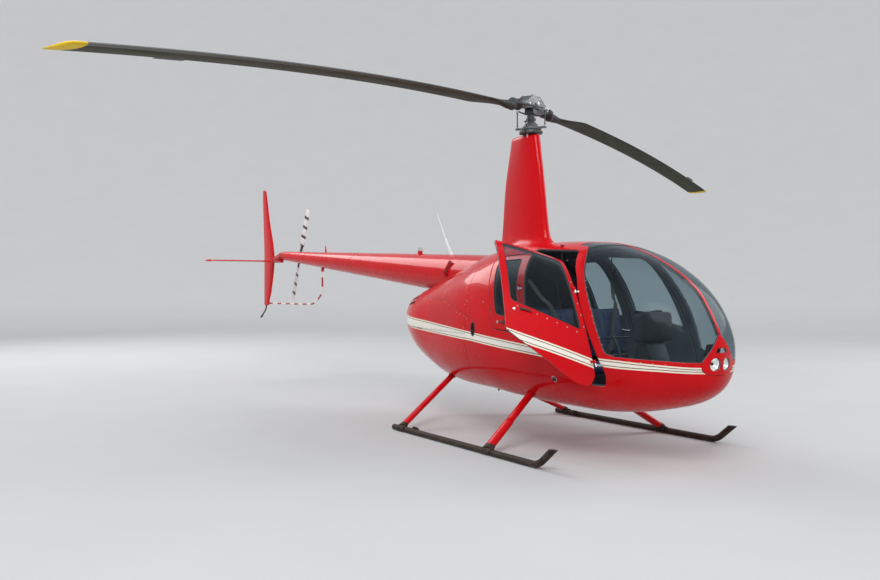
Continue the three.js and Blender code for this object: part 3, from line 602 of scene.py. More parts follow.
def divided_skin():
    """Triangulates a grid over one half of the skin together with all the lines on it."""
    scale = np.array([HULL_REACH, GIRTH])
    curves, edges, count = [], [], 0
    for line, closed in skin_lines():
        total = len(line)
        start = np.arange(total if closed else total - 1)
        edges.append(np.stack([start, (start + 1) % total], axis=1) + count)
        curves.append(line)
        count += total
    curves = np.concatenate(curves) * scale
    columns, rows = 232, 80
    along, around = np.linspace(0, np.pi, columns), np.linspace(-np.pi / 2, np.pi / 2, rows)
    grid = np.stack(np.meshgrid(along, around, indexing="ij"), axis=-1).reshape(-1, 2) * scale
    nearest = np.concatenate([
        np.sqrt(((block[:, None] - curves) ** 2).sum(axis=2).min(axis=1))
        for block in np.array_split(grid, 40)])
    rim = np.abs(np.abs(grid[:, 1]) - GIRTH * np.pi / 2) < 1e-9
    room = np.where(rim, 0.003, 0.009)  # a grid point nearer to a line than this would make slivers
    grid = grid[nearest > room]
    points = np.concatenate([curves, grid])
    found = geometry.delaunay_2d_cdt(
        [Vector(p) for p in points], np.concatenate(edges).tolist(), [], 0, 1e-6)
    flat = np.array([tuple(v) for v in found[0]]) / scale
    flat[:, 0] = np.clip(flat[:, 0], 0, np.pi)
    flat[:, 1] = np.clip(flat[:, 1], -np.pi / 2, np.pi / 2)
    triangles = np.array(found[2])
    return hull_point(*flat.T), triangles, flat


skin_points, skin_triangles, skin_angles = divided_skin()
skin_middles = hull_point(*skin_angles[skin_triangles].mean(axis=1).T)


def skin_region():
    """Which panel each triangle belongs to, from where its middle lies in side and front view."""
    x, y, z = skin_middles.T
    side = {name: inside(line, x, z) for name, line in side_lines.items()}
    front = {name: inside(line, y, z) & (x > SHIELD_X) for name, line in front_lines.items()}
    slots = np.any([side[f"slot_{k}"] for k in range(4)], axis=0) | side["vent"]
    divider = side["windshield"] & (y < DIVIDER_HALF) & ~front["shield"]
    doorways = side["front_doorway"] | side["rear_doorway"]
    cabin = x > BULKHEAD
    return {
        "cabin": cabin & ~doorways & ~side["windshield"] & ~front["shield"] & ~slots,
        "front_door": side["front_door"] & ~side["front_window"],
        "front_window": side["front_window"],
        "rear_door": side["rear_door"] & ~side["rear_window"],
        "rear_window": side["rear_window"],
        "windshield": side["windshield"] & ~divider & ~front["shield"],
        "divider": divider,
        "shield": front["shield"] & ~front["air_slot"] & ~front["lamp"],
        "cowl": ~cabin & (z > COWL_SEAM) & ~slots,
        "belly": ~cabin & (z <= COWL_SEAM) & ~slots,
    }


regions = skin_region()


def panel(region, sides, thick, recess=0.0, inset=0.0015, edge=0.0025, arc=3):
    """A curved plate: the skin moved in by recess, its rim drawn back and rounded, and an inner face.

    Returns the form, the corner normals, which faces are inner, and each point's place.
    """
    picked = skin_triangles[regions[region]]
    shift = len(skin_points) * (len(sides) - 1)
    points = np.concatenate([skin_points * (1, sign, 1) for sign in sides])
    triangles = np.concatenate([picked if sign > 0 else picked[:, ::-1] + shift for sign in sides])
    used, triangles = np.unique(triangles, return_inverse=True)
    points, triangles = points[used], triangles.reshape(-1, 3)
    _, first, same = np.unique(np.round(points, 6), axis=0, return_index=True, return_inverse=True)
    points, triangles = points[first], same.reshape(-1)[triangles]
    a, b, c = triangles.T
    triangles = triangles[(a != b) & (b != c) & (c != a)]
    normals = hull_normal(points)
    count = len(points)

    edges = np.concatenate([triangles[:, [0, 1]], triangles[:, [1, 2]], triangles[:, [2, 0]]])
    keys, back = edges[:, 0] * count + edges[:, 1], edges[:, 1] * count + edges[:, 0]
    rim = edges[~np.isin(keys, back)]
    rim_points, rim_index = np.unique(rim, return_inverse=True)
    rim_index = rim_index.reshape(-1, 2)
    run = points[rim[:, 1]] - points[rim[:, 0]]
    inward = unit(np.cross(normals[rim[:, 0]] + normals[rim[:, 1]], run))
    pull = np.zeros((len(rim_points), 3))
    np.add.at(pull, rim_index[:, 0], inward)
    np.add.at(pull, rim_index[:, 1], inward)
    pull = unit(pull)
    lean = np.ones(len(rim_points))
    np.minimum.at(lean, rim_index[:, 0], np.einsum("ij,ij->i", pull[rim_index[:, 0]], inward))
    pull_far = pull / np.clip(lean, 0.4, 1)[:, None]

    base, face = points[rim_points], normals[rim_points]
    rings, ring_normals = [], []
    for angle in np.linspace(0, np.pi / 2, arc + 1):
        rings.append(base + pull_far * (inset + edge * (1 - math.sin(angle)))
                     - face * (recess + edge * (1 - math.cos(angle))))
        ring_normals.append(face * math.cos(angle) - pull * math.sin(angle))
    rings.append(base + pull_far * inset - face * (recess + thick))
    ring_normals.append(-pull)

    outer = points - normals * recess
    outer[rim_points] = rings[0]
    size = len(rim_points)
    all_points = np.concatenate([outer, *rings[1:], points - normals * (recess + thick)])
    places = np.concatenate([points, *([base] * (arc + 1)), points])
    deep = count + (arc + 1) * size
    inner_index = np.arange(count) + deep
    inner_index[rim_points] = count + arc * size + np.arange(size)
    blocks, corner_normals = [triangles], [normals[triangles].reshape(-1, 3)]
    material = [np.zeros(len(triangles), int)]
    level = [rim_points] + [count + k * size + np.arange(size) for k in range(arc + 1)]
    start, end = rim_index.T
    for k in range(arc + 1):
        blocks.append(np.stack([level[k][end], level[k][start], level[k + 1][start], level[k + 1][end]],
                               axis=1))
        corners = (ring_normals[k][end], ring_normals[k][start], ring_normals[k + 1][start],
                   ring_normals[k + 1][end])
        corner_normals.append(np.stack(corners, axis=1).reshape(-1, 3))
        material.append(np.full(len(start), int(k == arc)))
    blocks.append(inner_index[triangles][:, ::-1])
    corner_normals.append(-normals[triangles][:, ::-1].reshape(-1, 3))
    material.append(np.ones(len(triangles), int))
    kept, flat = np.unique(np.concatenate([block.ravel() for block in blocks]), return_inverse=True)
    flat = flat.reshape(-1)
    renumbered, at = [], 0
    for block in blocks:
        renumbered.append(flat[at:at + block.size].reshape(block.shape))
        at += block.size
    form = all_points[kept], renumbered
    return form, np.concatenate(corner_normals), np.concatenate(material), places[kept]


def swing(points, joint, sign=1.0):
    """Turns points of a closed door about its hinge line, as far as the door stands open at rest."""
    hinge = joints[joint]
    angle = -math.radians(hinge["range_deg"][0]) * sign
    start = np.array(hinge["pos_m"]) - MAST
    return (points - start) @ about(hinge["axis"], angle).T + start


def skin_panel(name, region, sides, body, slot, materials, thick, replaces=(), **settings):
    """Makes one panel of the fuselage, a door's panels turned about the hinge they open on."""
    (points, faces), normals, material, places = panel(region, sides, thick, **settings)
    if body in doors_open:
        joint = f"{body}_hinge"
        turn = about(joints[joint]["axis"], -math.radians(joints[joint]["range_deg"][0]))
        points, normals = swing(points, joint), normals @ turn.T
    return piece(name, (points, faces), body, slot, *materials, replaces=replaces,
                 face_materials=material, normals=normals, places=places)


doors_open = {"front_door_right"}


# The band along the side: heights of its top and bottom edge at places from the rear forwards.
BAND_X = np.array([-2.05, -1.07, -0.55, -0.10, 0.36, 0.645, 0.926, 1.59, 1.735, 2.00, 2.26])
BAND_TOP = np.array([1.122, 1.068, 1.038, 1.006, 0.969, 0.948, 0.927, 0.881, 0.875, 0.858, 0.842])
BAND_BOTTOM = np.array([1.006, 0.959, 0.941, 0.923, 0.887, 0.870, 0.851, 0.817, 0.810, 0.805, 0.795])


def band_height(finish, x, heights):
    """Reads an edge of the band off a ramp, with x running from its rear end to its front end."""
    start, length = float(BAND_X[0]), float(BAND_X[-1] - BAND_X[0])
    base = 0.5  # a ramp holds values from 0 to 1 only
    stops = [((at - start) / length, float(height - base)) for at, height in zip(BAND_X, heights)]
    return finish.node("ValToRGB", {"stops": stops}, {0: (x - start) / length}) + base


def between(value, low, high):
    return (value > low) * (value < high)


def gloss_paint(name, colour, striped=False, seams=()):
    """Deep enamel under clear lacquer: a little orange peel, dust low down, and the painted band."""
    finish = Finish(name)
    place = finish.own()
    x, y, z = finish.parts(place)
    cloud = finish.noise(place, 2.2, 4.0)
    colour = finish.mix(cloud.ramp(0.35, 0.75), colour, tuple(0.86 * c for c in colour))
    rough = 0.22 + 0.10 * finish.noise(place, 9.0, 4.0).ramp(0.45, 0.8)
    if striped:
        top, bottom = band_height(finish, x, BAND_TOP), band_height(finish, x, BAND_BOTTOM)
        aside = y.size() - 0.134 - (z - 0.796) * 0.75 + (x < 0.0)
        for depth, shade in ((0.0, (0.82, 0.77, 0.62)), (0.0125, (0.16, 0.010, 0.012)),
                             (0.0185, (0.82, 0.79, 0.70))):
            within = (z > bottom + depth) * (z < top - depth) * (aside > depth)
            colour = finish.mix(within, colour, shade)
    low = (0.72 - z).ramp(0.0, 0.3)
    dust = low * finish.noise(finish.stretch(place, (6.0, 6.0, 2.0)), 1.6, 6.0).ramp(0.5, 0.8)
    colour = finish.mix(dust * 0.10, colour, (0.30, 0.22, 0.15))
    height = finish.noise(place, 55.0, 1.0) * 0.25
    for start, end in seams:
        height = height - 6.0 * seam_line(x, z, start, end)
        colour = finish.mix(seam_line(x, z, start, end) * 0.75, colour, (0.03, 0.002, 0.002))
    return finish.done(finish.principled(
        base_color=colour, roughness=rough + dust * 0.15, specular_ior_level=0.06, coat_weight=0.4,
        coat_roughness=0.035, coat_ior=1.35,
        normal=finish.bump(height, 0.0006, 0.35)))


def seam_line(x, z, start, end, half=0.0018):
    """One where a point is within half a joint's width of the line from start to end in side view."""
    (x0, z0), (x1, z1) = start, end
    length = math.hypot(x1 - x0, z1 - z0)
    ahead = ((x - x0) * (x1 - x0) + (z - z0) * (z1 - z0)) / length
    aside = ((z - z0) * (x1 - x0) - (x - x0) * (z1 - z0)) / length
    return between(ahead, 0.0, length) * (aside.size() < half)


def window_glass(name, tint, strength, dullness):
    """Tinted sheet: mostly see-through, with a mirror image that grows as 1 - |cos| to the fourth power."""
    finish = Finish(name)
    smear = finish.noise(finish.at(), 3.0, 5.0).ramp(0.5, 0.9)
    film = finish.node("BsdfTransparent", inputs={"Color": (*tint, 1.0)})
    mirror = finish.principled(base_color=(0.10, 0.115, 0.13), roughness=dullness + smear * 0.04)
    slant = finish.node("LayerWeight", inputs={"Blend": 0.5}, output="Facing")
    share = slant.math("POWER", 4.0) * strength + 0.055 + smear * 0.025
    return finish.done(finish.node("MixShader", inputs={0: share, 1: film, 2: mirror}))


def plain_finish(name, colour, roughness, metallic=0.0, grain=40.0, depth=0.0006, spread=0.25, coat=0.0):
    """Moulded or cast stock: fine grain in the surface, and patches a shade darker and duller."""
    finish = Finish(name)
    place = finish.own()
    patch = finish.noise(place, 5.0, 5.0).ramp(0.35, 0.75)
    fine = finish.noise(place, grain, 4.0)
    colour = finish.mix(patch, colour, tuple(c * (1 - spread) for c in colour))
    return finish.done(finish.principled(
        base_color=colour, roughness=roughness + patch * 0.12, metallic=metallic, coat_weight=coat,
        coat_roughness=0.08, normal=finish.bump(fine, depth, 0.6)))


RED = (0.60, 0.0022, 0.0065)
COWL_SEAMS = (((-1.530, 1.327), (-0.731, 1.299)), ((-0.731, 1.299), (-0.460, 1.232)),
              ((-0.460, 1.232), (-0.073, 1.126)))
body_paint = gloss_paint("body_paint", RED, striped=True, seams=COWL_SEAMS)
plain_paint = gloss_paint("plain_paint", RED)
tinted = window_glass("tinted", (0.76, 0.82, 0.84), 0.9, 0.05)
door_tinted = window_glass("door_tinted", (0.76, 0.82, 0.84), 0.9, 0.24)
lining = plain_finish("lining", (0.13, 0.135, 0.145), 0.75, grain=90.0, depth=0.0003)
rubber = plain_finish("rubber", (0.018, 0.018, 0.019), 0.6, grain=120.0)
black_plastic = plain_finish("black_plastic", (0.020, 0.020, 0.022), 0.42, grain=220.0, depth=0.0003)
bare_metal = plain_finish("bare_metal", (0.55, 0.56, 0.58), 0.32, metallic=0.9, grain=150.0, depth=0.0002)
screw_metal = plain_finish("screw_metal", (0.42, 0.36, 0.35), 0.5, metallic=0.5, grain=90.0, depth=0.0002)
dark_metal = plain_finish("dark_metal", (0.085, 0.088, 0.09), 0.45, metallic=0.55, grain=80.0)
white_plastic = plain_finish("white_plastic", (0.80, 0.80, 0.78), 0.35, grain=100.0, spread=0.08, coat=0.3)

WALL, COVER, RIB, PANE = 0.026, 0.020, 0.030, 0.004
skin_panel("cabin_shell", "cabin", (1, -1), "airframe", "red_paint", (body_paint, lining), WALL, replaces=(
    "cabin_tub", "cabin_roof", "side_frame_right", "side_frame_left", "windshield_post_right",
    "windshield_post_left"))
skin_panel("nose_piece", "shield", (1, -1), "airframe", "red_paint", (plain_paint, lining), COVER,
           replaces=("nose_shield",))
skin_panel("windshield_rib", "divider", (1, -1), "airframe", "red_paint", (plain_paint, lining), RIB,
           replaces=("windshield_divider",), inset=0.0008, edge=0.003)
skin_panel("belly_panel", "belly", (1, -1), "airframe", "red_paint", (body_paint, lining), COVER,
           replaces=("engine_belly",))
for side, sign in SIDES:
    skin_panel(f"cowl_{side}", "cowl", (sign,), "airframe", "red_paint", (body_paint, lining), COVER,
               replaces=(f"engine_cowl_{side}",))
    skin_panel(f"windshield_pane_{side}", "windshield", (sign,), "airframe", "tinted_glass", (tinted, tinted),
               PANE, replaces=(f"windshield_{side}",), recess=0.003, inset=0.003, edge=0.001, arc=1)
    for door in ("front", "rear"):
        body = f"{door}_door_{side}"
        skin_panel(f"{body}_panel", f"{door}_door", (sign,), body, "red_paint", (body_paint, lining), WALL,
                   replaces=(body,), inset=0.0)
        skin_panel(f"{body}_pane", f"{door}_window", (sign,), body, "tinted_glass",
                   (door_tinted, door_tinted), PANE, replaces=(f"{door}_door_window_{side}",), recess=0.003,
                   inset=0.003, edge=0.001, arc=1)


# Small repeated fittings: one low form set down many times on a surface.

def spread(form, places, normals):
    """Copies of a form, its z axis laid along each normal and its origin at each place."""
    points, faces = form
    normals = unit(np.asarray(normals, float))
    lead = np.where(np.abs(normals[:, 2:]) < 0.9, (0, 0, 1), (1, 0, 0))
    side = unit(np.cross(lead, normals))
    other = np.cross(normals, side)
    copies = (places[:, None] + points[None, :, :1] * side[:, None] + points[None, :, 1:2] * other[:, None]
              + points[None, :, 2:] * normals[:, None])
    start = np.arange(len(places))[:, None, None] * len(points)
    return copies.reshape(-1, 3), [(block[None] + start).reshape(-1, block.shape[1]) for block in faces]


def button(radius, height, sides=8):
    """A low round head: a flat top over a rim that falls as a quarter circle."""
    return turned([(-0.001, radius), (0.35 * height, radius), (0.85 * height, 0.7 * radius),
                   (height, 0.35 * radius)],
                  (0, 0, 0), (0, 0, 1), sides)


def row(start, end, spacing):
    """Evenly spaced points on a line in side view."""
    start, end = np.asarray(start, float), np.asarray(end, float)
    count = max(2, int(np.linalg.norm(end - start) / spacing) + 1)
    return start + (end - start) * np.linspace(0, 1, count)[:, None]


def on_skin(form, points, sign, lift=0.0):
    places, normals = side_skin(points[:, 0], points[:, 1], sign, lift)
    return spread(form, places, normals)


def grown(line, by):
    """A closed line moved away from its middle by a distance."""
    ahead = directions(line, closed=True)
    area = np.sum(line[:, 0] * np.roll(line[:, 1], -1) - line[:, 1] * np.roll(line[:, 0], -1))
    return line + np.stack([ahead[:, 1], -ahead[:, 0]], axis=1) * np.sign(area) * by


def bead(line, sign, radius=0.004, recess=0.002):
    """A round strip of rubber that follows a closed line on the skin."""
    points, normals = side_skin(line[:, 0], line[:, 1], sign, -recess)
    return tube(points, radius, 8, closed=True, up=normals)


def hinged(form, body):
    """Moves a form made for the closed door to where the door stands at rest."""
    return (swing(form[0], f"{body}_hinge"), form[1]) if body in doors_open else form


screws, seals = {"airframe": []}, {"airframe": []}
for side, sign in SIDES:
    for door in ("front", "rear"):
        body = f"{door}_door_{side}"
        window = resampled(side_lines[f"{door}_window"], 0.02)
        seals[body] = [hinged(bead(window, sign), body)]
        doorway = resampled(side_lines[f"{door}_doorway"], 0.03)
        seals["airframe"].append(bead(grown(doorway, 0.004), sign, 0.009, 0.019))
        screws[body] = []
    front = f"front_door_{side}"
    screws[front].append(hinged(on_skin(button(0.006, 0.002), np.concatenate([
        row((0.86, 1.135), (1.37, 1.062), 0.085), row((1.415, 1.12), (1.235, 1.49), 0.085)]), sign), front))
    edge = np.concatenate([row((1.325, 1.552), (1.595, 0.992), 0.062),
                           row((1.655, 0.882), (2.06, 0.862), 0.075)])
    screws["airframe"].append(on_skin(button(0.0048, 0.0015), edge, sign))
    screws["airframe"].append(on_skin(button(0.006, 0.0022), np.array([
        (-0.411, 1.180), (-0.200, 1.131), (-0.236, 1.300), (0.077, 1.294), (-0.731, 1.275), (-1.10, 1.290),
        (-1.45, 1.302), (-0.60, 1.245), (-0.34, 1.17)]), sign))
    seam = row((-0.30, COWL_SEAM + 0.014), (-1.90, COWL_SEAM + 0.014), 0.11)
    screws["airframe"].append(on_skin(button(0.005, 0.0018), seam, sign))
    rim = row((BULKHEAD - 0.016, 0.50), (BULKHEAD - 0.016, 1.70), 0.10)
    screws["airframe"].append(on_skin(button(0.005, 0.0018), rim, sign))
for body, forms in screws.items():
    if forms:
        piece(f"screws_{body}", merged(*forms), body, "bright_metal", screw_metal)
for body, forms in seals.items():
    piece(f"seals_{body}", merged(*forms), body, "black_plastic", rubber)


# The open landing-light wells, the air slot behind the nose piece, and the dark screens inside the openings.

def nose_fittings():
    """Two lamps, each a bowl, a bulb and a clear cover, and a dark tray behind the air slot."""
    reflector, dark = [], []
    for sign in (-1, 1):
        centre = np.array([[LAMP_Y, LAMP_Z]])
        middle = hull_point(*from_front(centre).T)[0] * (1, sign, 1)
        face = np.array([1.0, 0.05 * sign, -0.10])
        back = middle - 0.055 * unit(face)
        profile = [(-0.004, 0.020), (0.0, 0.026), (0.014, 0.038), (0.034, 0.0475), (0.036, 0.049),
                   (0.010, 0.044), (-0.010, 0.026)]
        reflector.append(turned(profile, back, face, 40))
        dark.append(turned([(0.0, 0.008), (0.006, 0.012), (0.020, 0.012), (0.024, 0.007)], back, face, 16))
        lens = turned([(0.030, 0.0455), (0.0315, 0.045), (0.037, 0.030), (0.039, 0.012)], back, face, 40)
        piece(f"landing_light_lens_{'left' if sign > 0 else 'right'}", lens, "airframe", "tinted_glass",
              clear_glass)
    # The bowls shine with a painted glow from their own emission, not from a lit lamp.
    piece("landing_light_bowls", merged(*reflector), "airframe", "bright_metal", glowing_lamp_silver)
    tray = slab(rounded([(-0.085, -0.050, 0.01), (0.085, -0.050, 0.01), (0.075, 0.045, 0.01),
                         (-0.075, 0.045, 0.01)]),
                0.02, (2.205, 0, 0.967), (0, 1, 0), (0.25, 0, 1))
    piece("landing_light_bulbs", merged(*dark, tray), "airframe", "black_plastic", rubber)


def vents():
    """Screens behind the louvres, blades between the slots, and the oval fresh-air vent with its rim."""
    forms = []
    rows, columns = 14, 12
    sheet, count = net(rows, columns), rows * columns
    rim = np.concatenate([
        np.arange(0, columns), np.arange(1, rows) * columns + columns - 1,
        (rows - 1) * columns + np.arange(columns - 2, -1, -1), np.arange(rows - 2, 0, -1) * columns])
    walls = np.stack([rim, np.roll(rim, -1), np.roll(rim, -1) + count, rim + count], axis=1)
    for sign in (-1.0, 1.0):
        u, v = np.meshgrid(np.linspace(-1.87, -1.56, rows), np.linspace(1.185, 1.45, columns), indexing="ij")
        front, normals = side_skin(u.ravel(), v.ravel(), sign, -0.024)
        back = front - 0.004 * normals
        forms.append(outward((np.concatenate([front, back]), [sheet, sheet[:, ::-1] + count, walls])))
        middle, normal = skin_spot(*VENT[:2], sign)
        along = np.cross(normal, (0, 0, 1))
        up = np.cross(along, normal)
        ring = ring_outline(0, 0, VENT[2], VENT[3], 40)
        forms.append(tube(middle + ring[:, :1] * along + ring[:, 1:] * up, 0.006, 10, closed=True, up=normal))
        forms.append(slab(grown(ring, 0.012), 0.008, middle - 0.020 * normal, along, up, 0.002))
        for k in range(-2, 3):
            bar = middle + 0.022 * k * up - 0.008 * normal
            reach = VENT[2] * math.sqrt(1 - (0.022 * k / VENT[3]) ** 2)
            forms.append(rod(bar - reach * along, bar + reach * along, 0.003, 8))
    piece("vents", merged(*forms), "airframe", "black_plastic", black_plastic)


def filler_boss():
    """A round drain boss low on each flank: a pale rim round a black recessed cap."""
    rims, caps = [], []
    for sign in (-1.0, 1.0):
        middle, normal = skin_spot(1.033, 0.669, sign)
        rims.append(turned([(-0.004, 0.030), (0.002, 0.030), (0.004, 0.027), (0.003, 0.022), (-0.004, 0.021)],
                           middle, normal, 32))
        caps.append(turned([(-0.004, 0.0215), (0.006, 0.021), (0.011, 0.017), (0.012, 0.008), (0.009, 0.004)],
                           middle, normal, 32))
    piece("boss_rims", merged(*rims), "airframe", "bright_metal", bare_metal)
    piece("boss_caps", merged(*caps), "airframe", "black_plastic", black_plastic)


def door_fittings():
    """Hinge barrels and straps on the line that the door turns about, the handle and the key lock."""
    for side, sign in SIDES:
        for door, lock, grip in (("front", (0.840, 1.106), (0.896, 1.119)),
                                 ("rear", (0.320, 1.12), (0.375, 1.125))):
            body = f"{door}_door_{side}"
            hinge = joints[f"{body}_hinge"]
            axis = unit(np.array(hinge["axis"])) * (1 if hinge["axis"][2] > 0 else -1)
            start = np.array(hinge["pos_m"]) - MAST
            moving, fixed = [], []
            for distance in (0.0, HINGE_SPAN[door]):
                point = start + axis * distance
                for way, forms in ((-1, moving), (1, fixed)):
                    middle = point - way * 0.015 * axis
                    forms.append(rod(point - way * 0.0006 * axis, point - way * 0.030 * axis, 0.0078, 16))
                    root, normal = skin_spot(middle[0] + way * 0.030, middle[2], sign, -0.006)
                    strap = smooth_path([middle, (middle + root) / 2 + 0.004 * normal, root], 9)
                    forms.append(tube(strap, 0.006, 10, up=axis, flat=1.5))
            piece(f"{body}_hinge_leaves", hinged(merged(*moving), body), body, "red_paint", plain_paint)
            piece(f"{body}_hinge_posts", merged(*fixed), "airframe", "bright_metal", bare_metal)
            middle, normal = skin_spot(*lock, sign)
            cylinder = turned([(-0.004, 0.012), (0.004, 0.012), (0.006, 0.010), (0.0062, 0.004),
                               (0.003, 0.003)],
                              middle, normal, 24)
            piece(f"{body}_lock", hinged(cylinder, body), body, "bright_metal", bare_metal)
            middle, normal = skin_spot(*grip, sign)
            along = unit(np.cross(normal, (0, 0, 1))) * sign
            bar = smooth_path([middle, middle + 0.014 * normal + 0.006 * along,
                               middle + 0.018 * normal + 0.05 * along,
                               middle + 0.014 * normal + 0.085 * along - np.array([0, 0, 0.006])], 14)
            base = turned([(-0.004, 0.015), (0.004, 0.015), (0.008, 0.010)], middle, normal, 24)
            handle = merged(base, tube(bar, np.linspace(0.009, 0.006, 14), 10, up=normal, flat=0.7))
            piece(f"{body}_handle", hinged(handle, body), body, "black_plastic", black_plastic)


def glowing_lamp_finish():
    """Silvered reflector, a bright bowl with a painted glow: it gives off light of its own in fine brighter
    and dimmer rings, though the lamp is not lit.
    """
    finish = Finish("glowing_lamp_silver")
    # Painted glow: the emission below makes the unlit bowl shine as if lit, its strength varying in fine
    # rings.
    rings = finish.noise(finish.at(), 220.0, 2.0)
    glow = finish.mix(rings.ramp(0.3, 0.7), (0.30, 0.30, 0.29), (0.42, 0.42, 0.41))
    return finish.done(finish.principled(base_color=(0.88, 0.88, 0.88), roughness=0.25, metallic=0.5,
                                         emission_color=glow, emission_strength=1.0))


HINGE_SPAN = {"front": 0.6436, "rear": 0.3527}
clear_glass = window_glass("clear_glass", (0.93, 0.94, 0.94), 1.0, 0.05)
glowing_lamp_silver = glowing_lamp_finish()
mirror_metal = plain_finish("mirror_metal", (0.82, 0.83, 0.84), 0.08, metallic=1.0, grain=30.0, depth=0.0002,
                            spread=0.1)
nose_fittings()
vents()
filler_boss()
door_fittings()


# The mast fairing stands on the roof, drawn in from a teardrop at its foot to a narrow cap.

FAIRING = np.array([(1.70, 0.330, -0.520, 0.150), (1.87, 0.285, -0.470, 0.118), (1.98, 0.258, -0.440, 0.104),
                    (2.42, 0.192, -0.392, 0.092), (2.86, 0.118, -0.300, 0.084), (2.92, 0.108, -0.290, 0.082)])
ROOF_TOP = 1.846
CAP_HEIGHT, CAP_ROUNDING = 2.872, 0.028


def roof_height(x, y):
    _, top, half, wide, upper, _ = section_at(angle_at(x))
    return wide + (top - wide) * (1 - np.clip(np.abs(y) / half, 0, 1) ** upper) ** (1 / upper)


def teardrop(angle, front, rear, half):
    """x runs from rear to front as the cosine; the width is the sine times a cubic that thins to the rear."""
    along = (1 + np.cos(angle)) / 2
    return rear + (front - rear) * along, half * np.sin(angle) * (0.35 + 0.95 * along - 0.3 * along ** 2)


def mast_fairing():
    angle = np.linspace(0, 2 * np.pi, 96, endpoint=False)
    levels = np.r_[ROOF_TOP - 0.012, ROOF_TOP + 0.10 * np.linspace(0, 1, 12) ** 2,
                   np.linspace(1.97, CAP_HEIGHT, 26)]
    shoulder = np.linspace(0, 1, 7)[1:] * np.pi / 2
    rings = []
    for level, draw in [(level, 0.0) for level in levels] + [
            (CAP_HEIGHT + CAP_ROUNDING * math.sin(a), CAP_ROUNDING * (1 - math.cos(a))) for a in shoulder]:
        front, rear, half = (steady(FAIRING[:, 0], FAIRING[:, k], np.array([level]))[0] for k in (1, 2, 3))
        flare = 0.040 * math.exp(-max(level - ROOF_TOP, 0) / 0.022) - draw
        x, y = teardrop(angle, front + flare, rear - flare, half + flare)
        settle = max(0.0, 1 - max(level - ROOF_TOP, 0) / 0.35) ** 2
        rings.append(np.stack([x, y, level + (roof_height(x, y) - ROOF_TOP) * settle], axis=1))
    piece("mast_fairing_skin", loft(rings), "airframe", "red_paint", fairing_paint,
          replaces=("mast_fairing",))
    fasteners = []
    for sign in (-1.0, 1.0):
        for share in (0.30, 0.72):
            z = np.linspace(1.98, 2.80, 9)
            front, rear, half = (steady(FAIRING[:, 0], FAIRING[:, k], z) for k in (1, 2, 3))
            x, y = teardrop(np.full(9, math.acos(2 * share - 1)), front, rear, half)
            places = np.stack([x, sign * y, z], axis=1)
            fasteners.append(spread(button(0.0045, 0.0016), places, np.tile((0.05, sign, 0.03), (9, 1))))
    piece("mast_fairing_fasteners", merged(*fasteners), "airframe", "red_paint", plain_paint)


fairing_paint = gloss_paint("fairing_paint", RED)
mast_fairing()


# The tailcone, the casting on its end, the fin, the stabiliser and the guard round the tail rotor.

CONE_START = np.array([-0.520, 0.0, 1.512])
CONE_END = np.array([-5.760, 0.0, 1.846])
CONE_AXIS = unit(CONE_END - CONE_START)
CONE_LENGTH = float(np.linalg.norm(CONE_END - CONE_START))
CONE_RADIUS, CONE_TIP_RADIUS = 0.238, 0.066
CONE_LAP = 0.0009  # how far every other bay stands out
CONE_SIDE = np.array([0.0, 1.0, 0.0])
CONE_OVER = np.cross(CONE_SIDE, CONE_AXIS)


def cone_point(along, around, lift=0.0):
    """A share of the way along the cone, at an angle from its left side over the top."""
    along, around = np.broadcast_arrays(np.asarray(along, float), np.asarray(around, float))
    radius = CONE_RADIUS + (CONE_TIP_RADIUS - CONE_RADIUS) * along + lift
    out = np.cos(around)[..., None] * CONE_SIDE + np.sin(around)[..., None] * CONE_OVER
    return CONE_START + (along * CONE_LENGTH)[..., None] * CONE_AXIS + radius[..., None] * out, out


def tailcone():
    """Straight tapered bays, each lapped over the next by a step of under a millimetre, and rivet rows."""
    around = np.linspace(0, 2 * np.pi, 64, endpoint=False)
    joins = np.array([0.0, 0.26, 0.41, 0.56, 0.71, 0.85, 1.0])
    rings = [cone_point(0.0, around)[0]]
    for k, (start, end) in enumerate(zip(joins[:-1], joins[1:])):
        for share in np.linspace(start, end, 7):
            rings.append(cone_point(share, around, CONE_LAP if k % 2 else 0.0)[0])
    piece("tailcone_skin", loft(rings), "airframe", "red_paint", plain_paint, replaces=("tailcone",))
    rivets = []
    for join in joins[2:-1]:
        for offset in (-0.0035, 0.0035):
            count = int(34 * (1 - 0.6 * join))
            places, out = cone_point(np.full(count, join + offset),
                                     np.linspace(0, 2 * np.pi, count, endpoint=False), CONE_LAP)
            rivets.append(spread(button(0.0034, 0.0012, 6), places, out))
    for angle in (-0.45, np.pi + 0.45):
        places, out = cone_point(np.linspace(0.27, 0.985, 74), np.full(74, angle), 0.0005)
        rivets.append(spread(button(0.0034, 0.0012, 6), places, out))
    piece("tailcone_rivets", merged(*rivets), "airframe", "red_paint", plain_paint)


def intake_slot():
    """A framed ram-air slot on the cone's right shoulder, open to the front."""
    places, out = cone_point(np.array([0.115]), np.array([np.pi - 0.30]))
    middle, normal = places[0], out[0]
    up = unit(np.cross(CONE_AXIS, normal))
    up = up if up[2] > 0 else -up
    lean = unit(up * 0.94 - CONE_AXIS * 0.34)
    frame_line = box_line(-0.030, -0.085, 0.030, 0.085, 0.012)
    across = unit(np.cross(lean, normal))
    path = middle + 0.004 * normal + frame_line[:, :1] * across + frame_line[:, 1:] * lean
    piece("intake_frame", tube(path, 0.007, 10, closed=True, up=normal), "airframe", "red_paint", plain_paint)
    mouth = slab(grown(frame_line, -0.004), 0.006, middle + 0.005 * normal, across, lean, 0.001)
    blade = slab(box_line(-0.012, -0.075, 0.012, 0.075, 0.008),
                 0.004, middle + 0.012 * normal, unit(across + 0.5 * normal), lean, 0.001)
    piece("intake_mouth", mouth, "airframe", "black_plastic", black_plastic)
    piece("intake_blade", blade, "airframe", "red_paint", plain_paint)


